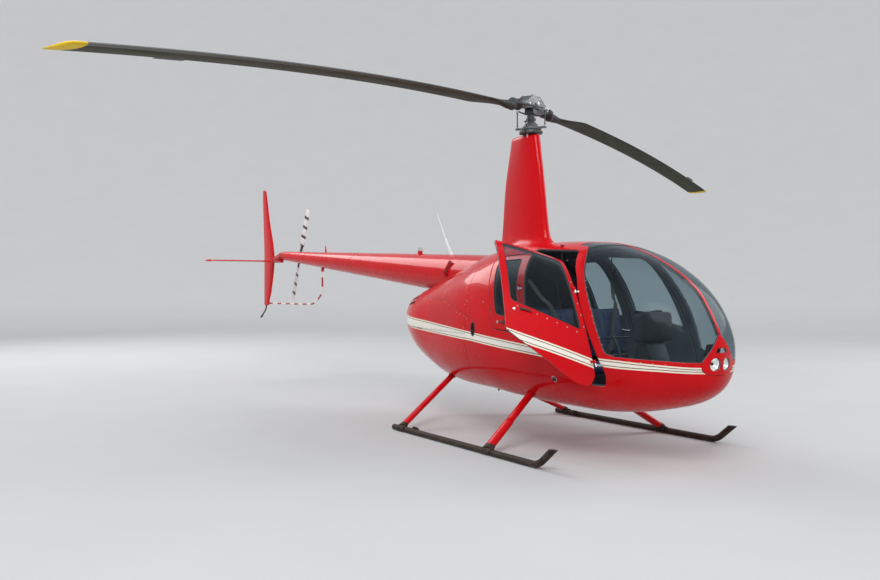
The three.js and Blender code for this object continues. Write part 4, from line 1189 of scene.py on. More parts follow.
CASTING = np.array([(-5.742, 0.0655, 0.0655, 1.845), (-5.768, 0.067, 0.067, 1.846),
                    (-5.840, 0.066, 0.065, 1.846), (-5.900, 0.062, 0.060, 1.846),
                    (-6.020, 0.040, 0.044, 1.832), (-6.188, 0.024, 0.034, 1.812)])


def tail_gearbox():
    """The cast end of the boom, its bolted flange, and the shaft case that holds the tail rotor."""
    around = np.linspace(0, 2 * np.pi, 40, endpoint=False)
    x = np.linspace(-5.742, -6.188, 40)
    half_y, half_z, z = (steady(CASTING[::-1, 0], CASTING[::-1, k], x) for k in (1, 2, 3))
    rings = np.stack([np.broadcast_to(x[:, None], (40, 40)), half_y[:, None] * np.cos(around),
                      z[:, None] + half_z[:, None] * np.sin(around)], axis=-1)
    seat = slab(box_line(-6.150, -0.020, -5.885, 0.020, 0.006),
                0.062, (0, 0, 1.810), (1, 0, 0), (0, 1, 0))
    piece("tail_casting", merged(loft(rings), seat), "airframe", "red_paint", cast_paint,
          replaces=("tail_gearbox",))
    case = turned([(0.0, 0.043), (0.070, 0.043), (0.076, 0.050), (0.090, 0.050), (0.094, 0.038),
                   (0.150, 0.034), (0.184, 0.031), (0.188, 0.024)], (-5.880, 0.0, 1.858), (0, 1, 0), 40)
    piece("tail_shaft_case", case, "airframe", "red_paint", cast_paint)
    angle = np.linspace(0, 2 * np.pi, 8, endpoint=False)
    bolts = np.stack([-5.880 + 0.045 * np.cos(angle), np.full(8, 0.090), 1.858 + 0.045 * np.sin(angle)],
                     axis=1)
    turn = np.linspace(0, 2 * np.pi, 12, endpoint=False)
    collar = np.stack([np.full(12, -5.752), 0.0675 * np.cos(turn), 1.8455 + 0.0675 * np.sin(turn)], axis=1)
    piece("tail_gearbox_bolts", merged(
        spread(button(0.0045, 0.004, 6), bolts, np.tile((0, 1, 0), (8, 1))),
        spread(button(0.0042, 0.003, 6), collar, collar - (-5.752, 0, 1.8455)),
    ), "airframe", "bright_metal", bare_metal)


def aerofoil(count=48):
    """Chord positions from 0 at the nose to 1 at the tail, and a four-figure section's thickness there."""
    angle = np.linspace(0, 2 * np.pi, count, endpoint=False)
    x = (1 - np.cos(angle)) / 2
    t = 2.969 * np.sqrt(x) - 1.26 * x - 3.516 * x ** 2 + 2.843 * x ** 3 - 1.015 * x ** 4
    return x, np.sign(np.sin(angle)) * np.maximum(t, 0.02) * np.where(np.abs(np.sin(angle)) < 1e-9, 0, 1)


def wing(stations, count, up_first, section=48):
    """A thin surface through stations of (span, nose, tail, half thickness, middle), rounded at each end."""
    stations = np.array(stations)
    span = np.linspace(stations[0, 0], stations[-1, 0], count)
    nose, tail, half, middle = (steady(stations[:, 0], stations[:, k], span) for k in (1, 2, 3, 4))
    share, thick = aerofoil(section)
    x = nose[:, None] + (tail - nose)[:, None] * share
    offset = half[:, None] * thick
    if up_first:
        return loft(np.stack([x, middle[:, None] + offset, np.broadcast_to(span[:, None], x.shape)], axis=-1))
    return loft(np.stack([x, np.broadcast_to(span[:, None], x.shape), middle[:, None] + offset], axis=-1))


def tail_surfaces():
    fin = wing([(1.083, -6.418, -6.560, 0.006, 0), (1.092, -6.402, -6.578, 0.011, 0),
                (1.118, -6.395, -6.580, 0.014, 0), (1.330, -6.295, -6.580, 0.018, 0),
                (1.760, -6.192, -6.580, 0.022, 0), (1.812, -6.190, -6.580, 0.022, 0),
                (2.400, -6.370, -6.618, 0.015, 0), (2.860, -6.505, -6.646, 0.010, 0),
                (2.887, -6.516, -6.646, 0.007, 0), (2.895, -6.535, -6.636, 0.003, 0)], 90, True)
    piece("fin_skin", fin, "airframe", "red_paint", plain_paint, replaces=("tail_fin",))
    skid = smooth_path([(-6.500, 0, 1.110), (-6.504, 0, 1.060), (-6.525, 0, 1.016), (-6.600, 0, 0.962),
                        (-6.706, 0, 0.892)], 40)
    shoe_line = rounded([(-6.640, 0.928, 0.006), (-6.708, 0.884, 0.006), (-6.712, 0.892, 0.004),
                         (-6.645, 0.938, 0.006)])
    shoe = slab(shoe_line, 0.030, (0, -0.015, 0), (1, 0, 0), (0, 0, 1), 0.002)
    piece("tail_skid", merged(tube(skid, 0.0105, 14, up=(0, 1, 0)), shoe), "airframe", "skid_finish",
          skid_steel)
    plate = wing([(-1.110, -5.905, -6.185, 0.003, 1.768), (-1.102, -5.872, -6.188, 0.007, 1.768),
                  (-1.070, -5.850, -6.188, 0.011, 1.768), (-0.500, -5.846, -6.188, 0.013, 1.768),
                  (-0.020, -5.845, -6.188, 0.014, 1.768)], 40, False)
    piece("stabiliser_skin", plate, "airframe", "red_paint", plain_paint, replaces=("stabiliser",))
    tip_cap = wing([(-1.113, -5.862, -6.186, 0.010, 1.768), (-1.106, -5.850, -6.189, 0.018, 1.768),
                    (-1.099, -5.862, -6.186, 0.010, 1.768)], 9, False)
    piece("stabiliser_cap", tip_cap, "airframe", "red_paint", plain_paint)
    rivets = np.array([(x, y) for y in np.linspace(-0.12, -1.03, 8) for x in np.linspace(-5.90, -6.15, 6)])
    thick = 0.0135 * np.interp(rivets[:, 0], (-6.188, -6.05, -5.93, -5.845), (0.05, 0.75, 1.0, 0.5))
    above = np.column_stack([rivets, 1.768 + thick])
    below = np.column_stack([rivets, 1.768 - thick])
    up = np.tile((0, 0, 1.0), (len(rivets), 1))
    rivet = button(0.003, 0.0014, 6)
    heads = merged(spread(rivet, above, up), spread(rivet, below, -up))
    piece("stabiliser_rivets", heads, "airframe", "red_paint", plain_paint)


GUARD = [(-4.500, 0, 1.640), (-4.545, 0.010, 1.590), (-4.580, 0.030, 1.430), (-4.700, 0.060, 1.270),
         (-5.050, 0.080, 1.140), (-5.700, 0.060, 1.128), (-6.392, 0, 1.122)]


def tail_guard():
    path = smooth_path(GUARD, 150)
    form = tube(path, 0.0125, 16, up=(0, 1, 0))
    run = np.r_[0, np.cumsum(np.linalg.norm(np.diff(path, axis=0), axis=1))]
    places = np.zeros((len(form[0]), 3))
    places[:, 0] = np.r_[np.repeat(run, 16), run[0], run[-1]]
    piece("guard_tube", form, "airframe", "banded_paint", guard_paint, replaces=("tail_guard",),
          places=places)
    clamp = rod((-6.372, 0, 1.1223), (-6.404, 0, 1.122), 0.019, 20)
    top = rod((-4.503, 0.0, 1.655), (-4.528, 0.004, 1.612), 0.021, 20)
    piece("guard_clamps", merged(clamp, top), "airframe", "red_paint", plain_paint)


def banded(name, first, second, width, roughness=0.35):
    """Bands across a part, by its own first coordinate, with chipped edges."""
    finish = Finish(name)
    place = finish.own()
    along = finish.parts(place)[0]
    chip = finish.noise(finish.at(), 120.0, 3.0) * 0.004
    phase = (along + chip) / (2 * width)
    odd = phase.math("FRACT") > 0.5
    grime = finish.noise(finish.at(), 14.0, 5.0).ramp(0.45, 0.8)
    colour = finish.mix(odd, first, second)
    colour = finish.mix(grime * 0.25, colour, (0.12, 0.10, 0.08))
    return finish.done(finish.principled(base_color=colour, roughness=roughness + grime * 0.2,
                                         coat_weight=0.4, coat_roughness=0.1,
                                         normal=finish.bump(finish.noise(finish.at(), 200.0), 0.0003, 0.4)))


cast_paint = gloss_paint("cast_paint", (0.46, 0.006, 0.011))
skid_steel = plain_finish("skid_steel", (0.030, 0.022, 0.018), 0.5, metallic=0.4, grain=60.0, spread=0.5)
guard_paint = banded("guard_paint", (0.80, 0.79, 0.74), (0.42, 0.008, 0.010), 0.135)
tailcone()
intake_slot()
tail_gearbox()
tail_surfaces()
tail_guard()


# The rotor head. Its own axes are along the blades, across them towards the leading edge, and up.

HEAD_HEIGHT = 3.190
HEAD_AT = np.array([0.0, 0.0, HEAD_HEIGHT])
ROTOR_TURN = about((0, 0, 1), math.radians(112.9))
HEAD_TURN = ROTOR_TURN @ about((0, 1, 0), math.radians(-0.52))
ALONG, ACROSS, UP = np.eye(3)
HALF_TURN = np.diag([-1.0, -1.0, 1.0])


def on_head(*forms):
    return moved(merged(*forms), HEAD_AT, HEAD_TURN)


def on_mast(*forms):
    return moved(merged(*forms), (0, 0, 0), ROTOR_TURN)


def both(form):
    """A form and its copy half a turn round the mast."""
    return merged(form, moved(form, turn=HALF_TURN))


def boxy(stations, power=4.0, sides=40, axis=0):
    """Sections along an axis, each |v/a|^p + |w/b|^p = 1, so that boxes have full corners."""
    angle = np.linspace(0, 2 * np.pi, sides, endpoint=False)
    c, s = np.cos(angle), np.sin(angle)
    c, s = np.sign(c) * np.abs(c) ** (2 / power), np.sign(s) * np.abs(s) ** (2 / power)
    rings = []
    for at, middle, half, bottom, top in stations:
        columns = [np.full(sides, at), middle + half * c, (top + bottom) / 2 + (top - bottom) / 2 * s]
        rings.append(np.stack(columns[-axis:] + columns[:-axis] if axis else columns, axis=1))
    return loft(rings)


def bolt(place, axis, reach, radius=0.011):
    """A through bolt: a shank with a washer and a six-sided head on each end."""
    place, axis = np.asarray(place, float), unit(np.asarray(axis, float))
    forms = [rod(place - axis * reach, place + axis * reach, radius * 0.55, 12)]
    for way in (-1, 1):
        end = place + way * axis * reach
        forms.append(rod(end - way * axis * 0.008, end - way * axis * 0.005, radius * 1.5, 20))
        forms.append(turned([(0, radius * 0.95), (0.001, radius), (0.007, radius), (0.0085, radius * 0.8)],
                            end - way * axis * 0.006, way * axis, 6))
    return merged(*forms)


def rotor_head():
    plate = rounded([(-0.236, -0.058, 0.02), (-0.130, -0.050, 0.03), (-0.070, -0.034, 0.03),
                     (0.070, -0.034, 0.03), (0.130, -0.050, 0.03), (0.236, -0.058, 0.02),
                     (0.252, -0.020, 0.02), (0.150, 0.034, 0.05), (0.084, 0.080, 0.03), (-0.084, 0.080, 0.03),
                     (-0.150, 0.034, 0.05), (-0.252, -0.020, 0.02)])
    cheeks = [slab(plate, 0.010, (0, y, 0), ALONG, UP, 0.003) for y in (-0.064, 0.054)]
    cap = slab(rounded([(-0.100, 0.036, 0.01), (0.100, 0.036, 0.01), (0.090, 0.072, 0.02),
                        (0.060, 0.086, 0.03), (-0.060, 0.086, 0.03), (-0.090, 0.072, 0.02)]), 0.112,
               (0, -0.056, 0), ALONG, UP, 0.010)
    block = boxy([(0.080, 0, 0.050, -0.030, 0.050), (0.084, 0, 0.056, -0.036, 0.060),
                  (0.130, 0, 0.058, -0.052, 0.032), (0.190, 0, 0.060, -0.062, 0.010),
                  (0.240, 0, 0.056, -0.062, 0.000), (0.258, 0, 0.050, -0.056, -0.006),
                  (0.2625, 0, 0.044, -0.050, -0.012)])
    rib = both(slab(rounded([(0.094, -0.030, 0.01), (0.230, -0.050, 0.01), (0.236, -0.018, 0.01),
                             (0.100, 0.024, 0.01)]),
                    0.138, (0, -0.069, 0), ALONG, UP, 0.004))
    piece("hub_body", on_head(*cheeks, cap, both(block), rib), "rotor_head", "bright_metal", hub_paint,
          replaces=("rotor_hub",))
    bolts = [bolt((0, 0, 0), ACROSS, 0.086, 0.016), both(bolt((0.185, 0, -0.022), ACROSS, 0.090, 0.013))]
    for u in (-0.062, 0.062):
        bolts.append(bolt((u, 0, 0.058), ACROSS, 0.062, 0.006))
    piece("hub_bolts", on_head(*bolts), "rotor_head", "bright_metal", bare_metal)
    holes = []
    for way in (-1, 1):
        for u, w, radius in ((-0.036, 0.054, 0.013), (0.036, 0.054, 0.013), (0.128, -0.006, 0.010),
                             (-0.128, -0.006, 0.010)):
            base = 0.0695 if abs(u) > 0.1 else 0.0645
            holes.append(turned([(-0.004, radius), (-0.0004, radius), (-0.0016, radius * 0.7),
                                 (-0.002, 0.003)],
                                (u, way * base, w), (0, way, 0), 20))
    piece("hub_pockets", on_head(*holes), "rotor_head", "black_plastic", rubber)
    reach = np.linspace(0, 1, 34)
    pleats = 0.050 + 0.0045 * np.cos(reach * 7 * 2 * np.pi) - 0.006 * reach
    boot = turned(np.column_stack([0.112 * reach, pleats]), (0.262, 0, -0.034), (1, 0, -0.035), 36)
    piece("blade_boots", on_head(both(boot)), "rotor_head", "black_plastic", boot_rubber)
    clamp = merged(*(turned([(0, 0.050), (0.002, 0.0535), (0.008, 0.0535), (0.010, 0.050)],
                            (u, 0, -0.034 - 0.035 * (u - 0.262)), (1, 0, -0.035), 36)
                     for u in (0.258, 0.370)))
    horn = tube(smooth_path([(0.378, 0.035, -0.038), (0.300, 0.098, -0.046), (0.180, 0.140, -0.050),
                             (0.080, 0.149, -0.046), (0.024, 0.150, -0.042)], 26),
                np.linspace(0.015, 0.009, 26), 12, flat=0.75)
    piece("pitch_horns", on_head(both(clamp), both(horn)), "rotor_head", "bright_metal", dark_metal)


def rotor_mast():
    tube_form = turned([(0, 0.034), (0.004, 0.038), (0.395, 0.038), (0.400, 0.034)], (0, 0, 2.702), UP, 40)
    yoke = slab(rounded([(-0.044, 0.0, 0.01), (0.044, 0.0, 0.01), (0.044, 0.042, 0.004),
                         (-0.044, 0.042, 0.004)]), 0.096,
                (0, -0.048, 3.098), ALONG, UP, 0.004)
    ear = rounded([(-0.044, 0.0), (0.044, 0.0), (0.044, 0.080, 0.02), (0.020, 0.116, 0.02),
                   (-0.020, 0.116, 0.02), (-0.044, 0.080, 0.02)])
    ears = [slab(ear, 0.018, (0, y, 3.098), ALONG, UP, 0.003) for y in (-0.047, 0.029)]
    piece("mast_shaft", on_mast(tube_form, yoke, *ears), "rotor_mast", "bright_metal",
          dark_metal, replaces=("rotor_mast",))
    sleeve = turned([(0, 0.080), (0.003, 0.098), (0.012, 0.101), (0.026, 0.098), (0.032, 0.080),
                     (0.040, 0.068), (0.055, 0.060), (0.062, 0.050), (0.064, 0.040)], (0, 0, 2.947), UP, 48)
    bar = slab(rounded([(-0.018, -0.166, 0.012), (0.018, -0.166, 0.012), (0.030, -0.070, 0.03),
                        (0.030, 0.070, 0.03), (0.018, 0.166, 0.012), (-0.018, 0.166, 0.012),
                        (-0.030, 0.070, 0.03), (-0.030, -0.070, 0.03)]),
               0.016, (0, 0, 2.975), ALONG, ACROSS, 0.003)
    piece("swash_upper", on_mast(sleeve, bar), "rotor_mast", "bright_metal", hub_paint)
    links, ends = [], []
    for y in (-0.150, 0.150):
        links.append(rod((0, y, 2.990), (0, y, 3.128), 0.0055, 14))
        for z in (3.000, 3.118):
            links.append(turned([(0, 0.0055), (0.001, 0.0085), (0.009, 0.0085), (0.010, 0.0055)],
                                (0, y, z - 0.005), UP, 6))
        for z in (2.980, 3.140):
            ends.append(turned([(0, 0.006), (0.002, 0.0115), (0.005, 0.0135), (0.011, 0.0135),
                                (0.014, 0.0115), (0.016, 0.006)],
                               (-0.008, y, z), ALONG, 20))
            ends.append(rod((-0.016, y, z), (0.016, y, z), 0.0045, 10))
    piece("pitch_links", on_mast(*links), "rotor_mast", "bright_metal", dark_metal)
    piece("rod_ends", on_mast(*ends), "rotor_mast", "bright_metal", bare_metal)
    scissor = [tube([(0.040, 0.0, 3.050), (0.095, 0.0, 3.028), (0.108, 0.0, 3.018)], 0.009, 10, up=(0, 1, 0),
                    flat=0.6),
               tube([(0.108, 0.0, 3.018), (0.100, 0.0, 2.985), (0.080, 0.0, 2.972)], 0.008, 10, up=(0, 1, 0),
                    flat=0.6),
               rod((0.108, -0.016, 3.018), (0.108, 0.016, 3.018), 0.006, 12)]
    collar = turned([(0, 0.039), (0.002, 0.048), (0.020, 0.048), (0.022, 0.039)], (0, 0, 3.040), UP, 32)
    piece("scissor_links", on_mast(*scissor, moved(merged(*scissor), turn=HALF_TURN), collar), "rotor_mast",
          "bright_metal", dark_metal)


def swashplate():
    ring = turned([(0, 0.056), (0.002, 0.095), (0.005, 0.110), (0.012, 0.1135), (0.024, 0.1135),
                   (0.034, 0.110), (0.038, 0.098), (0.039, 0.060)], (0, 0, 2.906), UP, 56)
    lugs, rods = [], []
    for angle in np.radians([200.0, 290.0, 20.0]):
        out = np.array([math.cos(angle), math.sin(angle), 0])
        root = out * 0.070 + (0, 0, 2.922)
        lugs.append(tube([root, out * 0.105 + (0, 0, 2.922), out * 0.124 + (0, 0, 2.919)], 0.010, 10,
                         flat=0.8))
        foot = out * 0.066
        rods.append(rod(foot + (0, 0, 2.870), foot + (0, 0, 2.907), 0.0075, 12))
        rods.append(turned([(0, 0.008), (0.003, 0.012), (0.010, 0.012), (0.013, 0.008)], foot + (0, 0, 2.889),
                           UP, 6))
    piece("swash_lower", merged(ring, *lugs), "airframe", "bright_metal", dark_metal,
          replaces=("swashplate",))
    piece("control_rod_tops", merged(*rods), "airframe", "bright_metal", bare_metal)
    gaiter = turned([(0, 0.060), (0.006, 0.062), (0.010, 0.056), (0.014, 0.060), (0.018, 0.052),
                     (0.022, 0.046)],
                    (0, 0, 2.880), UP, 40)
    piece("fairing_gaiter", gaiter, "airframe", "black_plastic", rubber)


CHORD = 0.262
ROOT_HEIGHT = 3.140
FALL, DROOP = 0.02, 0.0128  # the blade's slope at the mast, and its bend as a share of the radius squared
BLADE = np.array([(0.372, 0.040, 0.040, 0.074), (0.400, 0.044, 0.044, 0.082), (0.440, 0.045, 0.046, 0.082),
                  (0.560, 0.042, 0.052, 0.060), (0.640, 0.050, 0.100, 0.046), (0.740, 0.060, 0.160, 0.038),
                  (0.860, CHORD / 4, CHORD * 0.75, 0.034), (2.000, CHORD / 4, CHORD * 0.75, 0.0335),
                  (4.200, CHORD / 4, CHORD * 0.75, 0.031), (4.980, CHORD / 4, CHORD * 0.75, 0.030),
                  (5.016, CHORD / 4 - 0.006, CHORD * 0.72, 0.022),
                  (5.029, CHORD / 4 - 0.022, CHORD * 0.66, 0.010)])


def blade_droop(r):
    """How far above the head's middle a blade lies at a radius."""
    return ROOT_HEIGHT - HEAD_HEIGHT - FALL * r - DROOP * r * r


def rotor_blade(name, turn):
    """Round at the root and an aerofoil beyond, swept flat and drooping as the square of the radius."""
    r = np.r_[np.linspace(0.372, 0.90, 34), np.linspace(0.95, 4.95, 54), np.linspace(4.98, 5.029, 8)]
    ahead, behind, thick = (steady(BLADE[:, 0], BLADE[:, k], r) for k in (1, 2, 3))
    share, profile = aerofoil(56)
    angle = np.linspace(0, 2 * np.pi, 56, endpoint=False)
    round_share = np.clip((0.66 - r) / 0.20, 0, 1)[:, None]
    height = (1 - round_share) * profile + round_share * np.sin(angle)
    y = ahead[:, None] - (ahead + behind)[:, None] * share
    z = blade_droop(r)[:, None] + thick[:, None] / 2 * height
    rings = np.stack([np.broadcast_to(r[:, None], y.shape), y, z], axis=-1)
    points, faces = loft(rings)
    level = points - np.outer(blade_droop(points[:, 0]), UP)
    form = moved((points @ np.asarray(turn).T, faces), HEAD_AT, HEAD_TURN)
    piece(f"blade_{name}_skin", form, "rotor_head", "blade_paint", blade_paint,
          replaces=(f"rotor_blade_{name}",), places=level, sharp=50)
    tab_line = rounded([(4.08, -0.190, 0.01), (4.30, -0.190, 0.01), (4.30, -0.228, 0.008),
                        (4.08, -0.228, 0.008)])
    points, faces = slab(tab_line, 0.0022, (0, 0, 0), ALONG, ACROSS, 0.0006)
    tab = points + np.outer(blade_droop(points[:, 0]) + 0.001, UP), faces
    ends = [(u, -0.186, blade_droop(u) + 0.004) for u in (4.10, 4.28)]
    hinge = rod(*ends, 0.0028, 8)
    cuff = [turned([(0, 0.040), (0.004, 0.046), (0.016, 0.0465), (0.020, 0.042)],
                   (0.376, 0, blade_droop(0.376)), (1, 0, -0.03), 40),
            *(bolt((u, 0, blade_droop(u)), ACROSS, 0.050, 0.008) for u in (0.425, 0.470))]
    extra = moved(merged(tab, hinge, *cuff), turn=turn)
    piece(f"blade_{name}_fittings", moved(extra, HEAD_AT, HEAD_TURN), "rotor_head", "bright_metal",
          dark_metal)


def blade_finish():
    """Dark grey above, olive below, a worn bare leading edge, and a yellow band at the tip."""
    finish = Finish("blade_paint")
    place = finish.own()
    r, y, z = finish.parts(place)
    streaks = finish.noise(finish.stretch(place, (1.2, 14.0, 8.0)), 3.0, 6.0).ramp(0.35, 0.75)
    below = (z * -1 - 0.001).ramp(-0.002, 0.002)
    colour = finish.mix(streaks, (0.014, 0.015, 0.015), (0.025, 0.027, 0.026))
    colour = finish.mix(below, colour, finish.mix(streaks, (0.028, 0.027, 0.007), (0.018, 0.019, 0.005)))
    root = (0.95 - r).ramp(0.0, 0.3)
    colour = finish.mix(root * 0.8, colour, (0.040, 0.042, 0.042))
    nose = (y + finish.noise(place, 30.0, 4.0) * 0.008).ramp(0.046, 0.054)
    worn = nose * (r > 0.9) * (r / 5.0)
    colour = finish.mix(worn * 0.5, colour, (0.30, 0.30, 0.29))
    tip = r > 4.925
    colour = finish.mix(tip, colour, finish.mix(streaks, (0.78, 0.52, 0.02), (0.62, 0.42, 0.03)))
    rough = 0.52 + streaks * 0.15 - worn * 0.1
    joint = between(y, -0.118, -0.116) * (r > 0.9)
    bump = finish.bump(finish.noise(place, 60.0, 3.0) - joint * 1.2, 0.0005, 0.5)
    return finish.done(finish.principled(base_color=colour, roughness=rough, metallic=worn * 0.5,
                                         specular_ior_level=0.15, normal=bump))


hub_paint = plain_finish("hub_paint", (0.135, 0.145, 0.145), 0.42, metallic=0.2, grain=70.0, spread=0.45,
                         coat=0.2)
boot_rubber = plain_finish("boot_rubber", (0.030, 0.016, 0.016), 0.5, grain=90.0, spread=0.4)
blade_paint = blade_finish()
rotor_head()
rotor_mast()
swashplate()
rotor_blade("a", np.eye(3))
rotor_blade("b", HALF_TURN)


# The tail rotor, its shaft pointing to the left and its blades leaning with the rest pose.

TAIL_AT = np.array([-5.880, 0.294, 1.858])
TAIL_TURN = about((0, 1, 0), math.radians(21.6))
TAIL_RADIUS = 0.737


def tail_rotor():
    stations = np.array([(0.105, 0.026, 0.012, 0.0), (0.135, 0.030, 0.013, 0.0), (0.190, 0.060, 0.0095, 0.0),
                         (0.230, 0.064, 0.0085, 0.0), (0.700, 0.064, 0.0065, 0.0), (0.728, 0.060, 0.005, 0.0),
                         (TAIL_RADIUS, 0.050, 0.002, 0.0)])
    r = np.r_[np.linspace(0.105, 0.25, 16), np.linspace(0.27, 0.70, 20), np.linspace(0.708, TAIL_RADIUS, 7)]
    half, thick = steady(stations[:, 0], stations[:, 1], r), steady(stations[:, 0], stations[:, 2], r)
    share, profile = aerofoil(40)
    twist = np.radians(np.interp(r, (0.2, TAIL_RADIUS), (9.0, 2.0)))[:, None]
    x, y = half[:, None] * (1 - 2 * share), thick[:, None] * profile
    rings = np.stack([x * np.cos(twist) - y * np.sin(twist), y * np.cos(twist) + x * np.sin(twist),
                      np.broadcast_to(r[:, None], x.shape)], axis=-1)
    form = loft(rings)
    spin = np.diag([-1.0, 1.0, -1.0])
    other = moved(form, turn=spin)
    pair = merged(form, other)
    places = np.zeros((len(pair[0]), 3))
    places[:, 0] = TAIL_RADIUS - np.abs(pair[0][:, 2])
    places[:, 1:] = pair[0][:, :2]
    piece("tail_blades", moved(pair, TAIL_AT, TAIL_TURN), "tail_rotor", "tail_rotor_paint", tail_blade_paint,
          replaces=("tail_rotor",), places=places)
    yoke = boxy([(-0.120, 0, 0.016, -0.010, 0.010), (-0.116, 0, 0.020, -0.012, 0.012),
                 (-0.045, 0, 0.026, -0.014, 0.014), (0, 0, 0.034, -0.018, 0.018),
                 (0.045, 0, 0.026, -0.014, 0.014), (0.116, 0, 0.020, -0.012, 0.012),
                 (0.120, 0, 0.016, -0.010, 0.010)], axis=2)
    hub = turned([(-0.100, 0.016), (-0.098, 0.018), (-0.030, 0.018), (-0.026, 0.038), (0.020, 0.040),
                  (0.026, 0.034), (0.030, 0.020), (0.038, 0.018), (0.040, 0.012)], (0, 0, 0), ACROSS, 36)
    slider = turned([(-0.080, 0.019), (-0.078, 0.030), (-0.062, 0.030), (-0.060, 0.019)],
                    (0, 0, 0), ACROSS, 32)
    parts = [yoke, hub, slider]
    for way in (-1, 1):
        parts.append(tube([(0.028, -0.070, way * 0.004), (0.040, -0.045, way * 0.075),
                           (0.046, -0.012, way * 0.122)], 0.0045, 10,
                          up=(1, 0, 0)))
        parts.append(bolt((0, 0, way * 0.125), ALONG, 0.030, 0.007))
        parts.append(rod((0, -0.020, way * 0.098), (0, 0.020, way * 0.098), 0.009, 16))
    piece("tail_hub", moved(merged(*parts), TAIL_AT, TAIL_TURN), "tail_rotor", "bright_metal", dark_metal)


def tail_blade_finish():
    """Black with four white bands from the tip inwards."""
    finish = Finish("tail_blade_paint")
    along = finish.parts(finish.own())[0]
    edge = finish.noise(finish.at(), 90.0, 3.0) * 0.003
    place = along + edge
    white = (between(place, -0.1, 0.105) + between(place, 0.150, 0.255) + between(place, 0.300, 0.405)
             + between(place, 0.450, 0.550))
    grime = finish.noise(finish.at(), 18.0, 5.0).ramp(0.4, 0.8)
    colour = finish.mix(white, (0.022, 0.023, 0.025), (0.78, 0.78, 0.74))
    colour = finish.mix(grime * 0.25, colour, (0.16, 0.15, 0.13))
    return finish.done(finish.principled(base_color=colour, roughness=0.35 + grime * 0.2, coat_weight=0.5,
                                         coat_roughness=0.1,
                                         normal=finish.bump(finish.noise(finish.at(), 150.0), 0.0003, 0.4)))


tail_blade_paint = tail_blade_finish()
tail_rotor()


# The landing gear: legs that thicken into sleeves, shoes on the skids, and worn tubes turned up at the toes.

SKID_Y = 1.050
SKID_MIDDLE = GROUND + 0.0265
SKID_REAR, BEND_START, BEND_RADIUS, BEND_ANGLE = -0.800, 1.310, 0.200, 40
TOE_TOP = 0.205
LEGS = {"front": (0.728, (0.545, 0.426, 0.490), [(0.0, 0.105, 0.060), (0.44, 0.105, 0.060),
                                                 (0.47, 0.088, 0.050), (1.0, 0.088, 0.050)]),
        "rear": (-0.648, (-1.010, 0.210, 0.498), [(0.0, 0.086, 0.050), (1.0, 0.082, 0.048)])}


def leg(foot, top, widths):
    """Ellipses from foot to top with the long axis fore and aft, sized along the way."""
    foot, top = np.asarray(foot, float), np.asarray(top, float)
    widths = np.array(widths)
    run = unit(top - foot)
    across = unit(np.cross(run, (1, 0, 0)))
    fore = np.cross(across, run)
    share = np.linspace(0, 1, 60)
    chord, thick = np.interp(share, widths[:, 0], widths[:, 1]), np.interp(share, widths[:, 0], widths[:, 2])
    angle = np.linspace(0, 2 * np.pi, 36, endpoint=False)
    return loft(foot + share[:, None, None] * (top - foot)
                + chord[:, None, None] / 2 * np.cos(angle)[None, :, None] * fore
                + thick[:, None, None] / 2 * np.sin(angle)[None, :, None] * across)


